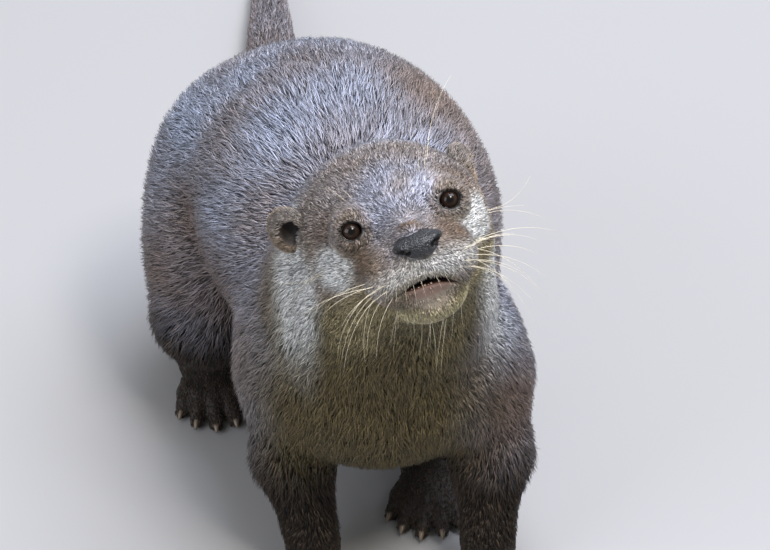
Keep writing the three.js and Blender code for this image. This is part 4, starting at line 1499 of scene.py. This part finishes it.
# %% One tuft's shape
RING_SIDE = np.array([-0.5, 0.5, 0.0])  # the three points of a spike's ring: left, right and top
RING_UP = np.array([-0.2, -0.2, 0.4])
SPIKE = np.array([(0, 2, 1), (0, 3, 2), (0, 1, 3), (4, 1, 2), (4, 2, 3), (4, 3, 1)])
ALONG = np.array([0, 0.5, 0.5, 0.5, 1.0])  # how far each of a spike's points is from root to tip
ROOT_DEPTH = 0.3  # mm below the skin


def spikes(roots, n, way, length, width, lift, bend):
    """Closed spikes of six faces: a point under the skin, a ring of three a third of the way along at most of
    the lift, and the tip. A spike so rises steeply and then lies over."""
    side = np.cross(n, way)
    base = roots - n * ROOT_DEPTH
    middle = roots + way * (length * 0.36)[:, None] + n * (lift * 0.7)[:, None]
    tip = roots + way * length[:, None] + n * lift[:, None] + side * bend[:, None]
    ring = side[:, None] * RING_SIDE[None, :, None] + n[:, None] * RING_UP[None, :, None]
    ring = middle[:, None] + ring * width[:, None, None]
    return np.concatenate([base[:, None], ring, tip[:, None]], axis=1)


print("a tuft has", len(ALONG), "points and", len(SPIKE), "faces")

# %% [markdown]
# ## A map for the coat
# Every tuft needs a place on a map, on which the coat's colours can be baked into an image. Each part of
# the body is rolled out flat, as a map rolls out the globe, into its own field of the map, and each tuft
# gets a small patch where its root lies.

# %% An unwrap of the skin for the coat's map
MAP_FIELDS = 3  # fields across and up the map
PATCH = 0.003  # the width of one tuft's patch on it


def unwrap(p):
    """Across goes the turn round a part's own line, and up goes the way along the line."""
    lines = {
        "trunk": ([(-8, -20, 120), (-20, 70, 105), (-44, 200, 90)], trunk(p)),
        "head": (at_head([(30, 0, -16), (-60, 0, -14)]), head(p)),
        "tail": ([point for point, _ in TAIL], tail(p)),
    }
    for name, limb in LEGS.items():
        own = np.minimum(leg(p, limb), foot(p, limb))
        lines[name] = ([point for point, _ in limb["joints"]] + [limb["heel"]], own)
    nearest = np.argmin(np.stack([own for _, own in lines.values()]), axis=0)
    uv = np.zeros((len(p), 2))
    for i, (line, _) in enumerate(lines.values()):
        column, row = i % MAP_FIELDS, i // MAP_FIELDS
        mine = nearest == i
        if not mine.any():
            continue
        t = np.linspace(0, 1, 40)
        at, way = along_path(line, t)
        far = np.linalg.norm(p[mine][:, None] - at[None], axis=2)
        k = np.argmin(far, axis=1)
        r, w = p[mine] - at[k], way[k]
        past = np.einsum("ij,ij->i", r, w)
        across = np.cross(w, (0.2, 0.1, 0.97))
        across /= np.linalg.norm(across, axis=1, keepdims=True)
        square = np.cross(w, across)
        turn = np.arctan2(np.einsum("ij,ij->i", r, square), np.einsum("ij,ij->i", r, across))
        turn = turn / (2 * np.pi) + 0.5
        along = np.clip((t[k] + past / 260 + 0.3) / 1.6, 0, 1)
        uv[mine] = np.stack([column + turn * 0.97, row + along * 0.97], axis=1) / MAP_FIELDS
    return uv


def set_patches(piece, root_uv, faces):
    """The map OFBake: a tuft's points lie within a patch at its root's place, spread to fill the map."""
    low, high = root_uv.min(0), root_uv.max(0)
    root_uv = (root_uv - low) / (high - low) * 0.98 + 0.01
    outline = np.array([(0.0, -0.5), (-0.5, 0.1), (0.5, 0.1), (0.0, 0.2), (0.0, 0.5)])
    uv = (root_uv[:, None] + outline[None] * PATCH).reshape(-1, 2)
    layer = piece.data.uv_layers.new(name="OFBake")
    layer.data.foreach_set("uv", uv[faces.ravel()].astype(np.float32).ravel())


print("the coat's map:", MAP_FIELDS**2, "fields for", len(LEGS) + 3, "parts")

# %% [markdown]
# ## What a hair looks like
# Guard hair is keratin: darker at the root, pale and glossy at the tip, and no two alike. Each tuft has its
# own tone, close neighbours share a little of theirs, and the colour climbs from root to tip. A hair shader
# is for real curves; on mesh tufts a plain rough surface with the colours stored at the points does better.

# %% Hair material
def make_hair_material():
    """Guard hair, a keratin rod with fine scales, so its shine is broad and soft."""
    material, tree, shader, add = new_material("guard hair")
    colour = add("ShaderNodeAttribute", {"attribute_name": "markings"})
    along = add("ShaderNodeAttribute", {"attribute_name": "along"})
    shade = add("ShaderNodeMapRange", {"To Min": 0.45, "To Max": 1.2}, {"Value": along.outputs["Fac"]})
    tinted = add("ShaderNodeMix", {"data_type": "RGBA", "blend_type": "MULTIPLY", "Factor": 1.0},
                 {6: colour.outputs["Color"], 7: shade.outputs["Result"]})
    tree.links.new(tinted.outputs[2], shader.inputs["Base Color"])
    shader.inputs["Roughness"].default_value = 0.52
    shader.inputs["IOR"].default_value = 1.55
    shader.inputs["Specular IOR Level"].default_value = 0.38
    return material


hair_material = make_hair_material()


print("material:", hair_material.name)

# %% [markdown]
# ## Growing the coat
# The roots are sorted into pieces by the part of the body they stand on, so that no piece gets too large.
# Then every piece grows at once: each tuft leans, bends and shines a little differently from the next.

# %% Shape and colour every tuft
def grow(name, roots, n, way, depth, colour, rng):
    """One piece of the coat from its roots: shapes first, then a tone for each tuft, then the mesh."""
    count = len(roots)
    lean = 0.22 * waves(roots, 16, 11) + 0.16 * waves(roots, 42, 12) + rng.normal(0, 0.15, count)
    way = way * np.cos(lean)[:, None] + np.cross(n, way) * np.sin(lean)[:, None]
    length = tuft_length(depth) * rng.uniform(0.65, 1.2, count)
    width = tuft_width(roots, depth) * rng.uniform(0.7, 1.25, count)
    lift = depth * rng.uniform(0.35, 1.0, count) + 0.15
    points = spikes(roots, n, way, length, width, lift, length * rng.normal(0, 0.10, count))
    points[:, :, 2] = np.maximum(points[:, :, 2], 0.3)
    mottled = 0.5 + 0.5 * ramp(depth, 4.0, 2.0)  # the short fur of the head shows its dark roots most
    tone = 1 + 0.16 * waves(roots, 5, 13) + 0.12 * waves(roots, 13, 14) + rng.normal(0, 0.27, count) * mottled
    tone = np.where(rng.random(count) < 0.34 * mottled, tone * 0.42, tone)
    browned = 0.5 * rng.random(count) ** 2 * ramp(colour.mean(axis=1), 0.75, 0.4)
    colour = mix(colour, PELT["brown"], browned) * np.clip(tone, 0.25, 1.5)[:, None]
    faces = (SPIKE[None] + (np.arange(count) * 5)[:, None, None]).reshape(-1, 3)
    coat = make_mesh(name, points.reshape(-1, 3), faces, hair_material)
    set_attribute(coat, "markings", np.repeat(np.clip(colour, 0, 1), 5, axis=0))
    set_attribute(coat, "along", np.tile(ALONG, count))
    set_patches(coat, unwrap(roots), faces)
    print(name, count, "tufts,", len(faces), "triangles")


def coat_pieces():
    """Sorts the roots into named pieces and grows each one."""
    rng = np.random.default_rng(7)
    roots, n = strew(skin.data, coat_density, rng)
    q, depth = in_head(roots), coat_depth(roots)
    headward = on_head(roots, q) > 0.5
    fine = headward & (depth < 1.75)
    tailward = roots[:, 1] > 190
    legward = (roots[:, 2] < 55) & ~tailward
    front = roots[:, 1] < 50
    left = roots[:, 0] > -25 + 0.05 * roots[:, 1]
    taken = np.zeros(len(roots), bool)
    pieces = dict(
        coat_face_right=fine & (q[:, 1] < 0), coat_face_left=fine, coat_crown=headward, coat_tail=tailward,
        coat_paws=on_paw(roots) > 0.5, coat_legs=legward, coat_chest_right=front & (roots[:, 0] < -5),
        coat_chest_left=front, coat_back_left=left & (n[:, 2] > 0.3), coat_flank_left=left,
        coat_back_right=n[:, 2] > 0.3, coat_flank_right=n[:, 2] < 9,
    )
    for name, mask in pieces.items():
        mine = mask & ~taken
        taken |= mine
        if mine.any():
            p = roots[mine]
            grow(name, p, n[mine], flow(p, n[mine]), depth[mine], markings(p, n[mine]), rng)


coat_pieces()

# %% [markdown]
# ## Hair on the ears
# The ears are shells of their own, so they get hair of their own, very short and brushed out to the rim.

# %% Hair on the ears
def ear_coat(side):
    """Short hair over the ear's back and rim and none in the hollow, browner behind than on the rim, and
    darker low down as painted shade.
    """
    rng = np.random.default_rng(31)
    up = EAR["up"][side]
    middle = at_head((EAR["forward"] - 3, SIDES[side] * EAR["side"][side] * 0.72, up - 7))
    hollow = np.empty(len(ears[side].data.vertices), np.float32)
    ears[side].data.attributes["hollow"].data.foreach_get("value", hollow)
    points = read_mesh(ears[side].data)[hollow > 0.4]

    def density(p):
        near_hollow = np.array([np.min(np.linalg.norm(points - x, axis=1)) for x in p])
        return 9.0 * ramp(near_hollow, 0.3, 1.2)

    roots, n = strew(ears[side].data, density, rng)
    way = into_skin(roots - middle, n)
    # painted shade: the ear's hair darker low down and full colour towards its top
    lit = ramp(in_head(roots)[:, 2], up - 6, up + 4)
    colour = mix(PELT["temple"] * 0.65, PELT["ear"], lit[:, None])
    colour = mix(colour, PELT["temple"], ramp((n @ AXES.T)[:, 0], 0.1, -0.5))
    grow("coat_ear_" + side, roots, n, way, np.full(len(roots), 0.9), colour, rng)


for side in SIDES:
    ear_coat(side)

# %% [markdown]
# ## Whiskers
# Long stiff hairs stand in rows on the upper lip, with a few on the cheeks, over the eyes and under the chin.
# Each is a thin tapered cord on a curve: it leaves the skin outward and droops or is swept back. Rows of
# equal hairs would look like a comb, so their ways and lengths vary by chance, the same chance each time.

# %% Whiskers
WHISKER = dict(root=0.115, tip=0.035, sides=5, rows=14)  # mm; a little thicker than real, so that they show


def whisker(root, reach, bow, thick=1.0):
    """A cord from the root over a reach, bowed aside by a parabola that is highest halfway."""
    t = np.linspace(0, 1, WHISKER["rows"])[:, None]
    path = np.array(root) + np.array(reach, float) * t + np.array(bow, float) * 4 * t * (1 - t)
    radius = WHISKER["root"] * (1 - t[:, 0]) + WHISKER["tip"] * t[:, 0]
    return tube(at_head(path), radius * thick, WHISKER["sides"])


def onto_skin(q, out):
    """Moves a point of the head's frame out along a way until it leaves the skin."""
    q, out = np.array([q], float), np.array(out, float) / np.linalg.norm(out)
    for _ in range(40):
        q = q - out * np.clip(bare(at_head(q)), -3, 3)[:, None] * 0.7
    return q[0] - out * 0.4


def lip_whiskers(s, rng):
    """Three rows of four on one side: the upper ones point outward, the lower ones more and more down."""
    for row in range(3):
        for column in range(4):
            place = (24 - 3.4 * column, s * (13 + 3.0 * column), -14.5 - 3.0 * row - 0.4 * column)
            root = onto_skin(place + rng.normal(0, 0.6, 3), (0.3, s, -0.1))
            down = math.radians(6 + 21 * row + 5 * column + rng.normal(0, 8))
            length = (19 + 3.2 * column + 3.5 * row) * rng.uniform(0.75, 1.25)
            reach = np.array([-0.12 - 0.06 * column, s * math.cos(down), -math.sin(down)]) * length
            yield whisker(root, reach, (0.04 * length, s * 0.05 * length, 0.09 * length))


CHEEK_WHISKERS = [  # reach and bow of each, mm
    ((-4, 23, 5), (0, 1.0, -3.2)), ((-4, 17, -4.5), (0, 0, 0.8)), ((-5, 23, -12), (0, 0.5, 2.4)),
]


def other_whiskers(s, rng):
    """Three on the cheek, two over the eye and a few fine ones on the lip's edge of one side."""
    for reach, bow in CHEEK_WHISKERS:
        root = onto_skin((-13 + rng.normal(0, 1), s * 33, -11 + rng.normal(0, 1.2)), (0, s, 0))
        yield whisker(root, np.array(reach) * (1, s, 1), np.array(bow) * (1, s, 1), 0.8 if s > 0 else 0.5)
    for k in range(2):
        root = onto_skin((-9.0 - 3 * k, s * (14 + 2.5 * k), 9.0), (0.3, 0, 0.95))
        yield whisker(root, (-10 - 3 * k, s * (3 + 3 * k), 5 + 2 * k), (0, 0, 1.5), 0.7)
    for k in range(5):
        root = onto_skin((25 - 0.6 * k, s * (3 + 3.2 * k), -17.2 + 0.2 * k), (1, 0, -0.2))
        yield whisker(root, (0.5, s * (0.5 + 0.9 * k), -rng.uniform(6, 10)), (1.2, 0, 0), 0.55)


def make_whiskers():
    """Both sides' whiskers, one long hair on the crown, and thirteen fine ones under the chin."""
    rng = np.random.default_rng(21)
    made = []
    for s in SIDES.values():
        made += [*lip_whiskers(s, rng), *other_whiskers(s, rng)]
    crown = onto_skin((-26, 20.5, 14), (0, 0.3, 1))
    made.append(whisker(crown, (-30, 24, 23), (2, -2, 2.5), 0.8))
    for across in rng.uniform(-15, 12, 13):
        root = onto_skin((15 + rng.normal(0, 2), across, -35 + 0.012 * across**2), (0.4, 0, -0.9))
        length = rng.uniform(9, 24)
        reach = np.array([-0.1, -0.3 + rng.normal(0, 0.12), -0.93]) * length
        made.append(whisker(root, reach, (0.06 * length, rng.normal(0, 0.05) * length, 0), 0.5))
    return put_together(made)


whisker_material, _, whisker_shader, _ = new_material("whisker keratin")  # smooth and glossy
whisker_shader.inputs["Base Color"].default_value = srgb("#d8cfb8")
whisker_shader.inputs["Roughness"].default_value = 0.35
whisker_shader.inputs["IOR"].default_value = 1.55
whiskers = make_mesh("whiskers", *make_whiskers(), whisker_material)
print("whiskers:", len(whiskers.data.polygons), "triangles")

# %% [markdown]
# ## Claws
# The small-clawed otter is named for them: blunt pegs that barely pass the ends of its toes. They are the
# same tapered cords as the whiskers, thick and short, and bent down at the tip.

# %% Claws
def make_claws():
    """Small blunt claws: a tapered cord over the end of each toe, bent down at its tip."""
    made = []
    for limb in LEGS.values():
        for _, _, tip, out in toes_of(limb):
            way = np.array([*out, 0.0])
            t = np.linspace(0, 1, 7)[:, None]
            start, drop = np.array(tip) + np.array([0, 0, 1.0]), np.array([0, 0, 1.9])
            path = start + way * (1.2 + 3.6 * t) - drop * t**2
            made.append(tube(path, 1.15 * (1 - t[:, 0]) ** 0.7 + 0.3, 8))
    return put_together(made)


claw_material, _, claw_shader, _ = new_material("claw horn")  # worn horn, with a dull shine
claw_shader.inputs["Base Color"].default_value = srgb("#6f6355")
claw_shader.inputs["Roughness"].default_value = 0.38
claws = make_mesh("claws", *make_claws(), claw_material)
print("claws:", len(claws.data.polygons), "triangles")

# %% [markdown]
# ## The floor
# A plain pale floor under the otter, of matt plaster, takes its shadow. It is stage and not part of the
# model, so it rides on no body.

# %% Floor
FLOOR_REACH = 6000  # mm to each side

floor_material, _, floor_shader, _ = new_material("matt plaster floor")
floor_shader.inputs["Base Color"].default_value = srgb("#909193")
floor_shader.inputs["Roughness"].default_value = 0.9
floor_points = np.array([(-1, -1, 0), (1, -1, 0), (1, 1, 0), (-1, 1, 0)]) * float(FLOOR_REACH)
floor = make_mesh("floor", floor_points, [(0, 1, 2), (0, 2, 3)], floor_material, closed=False, part=False)
print("floor:", 2 * FLOOR_REACH * MM, "m across")
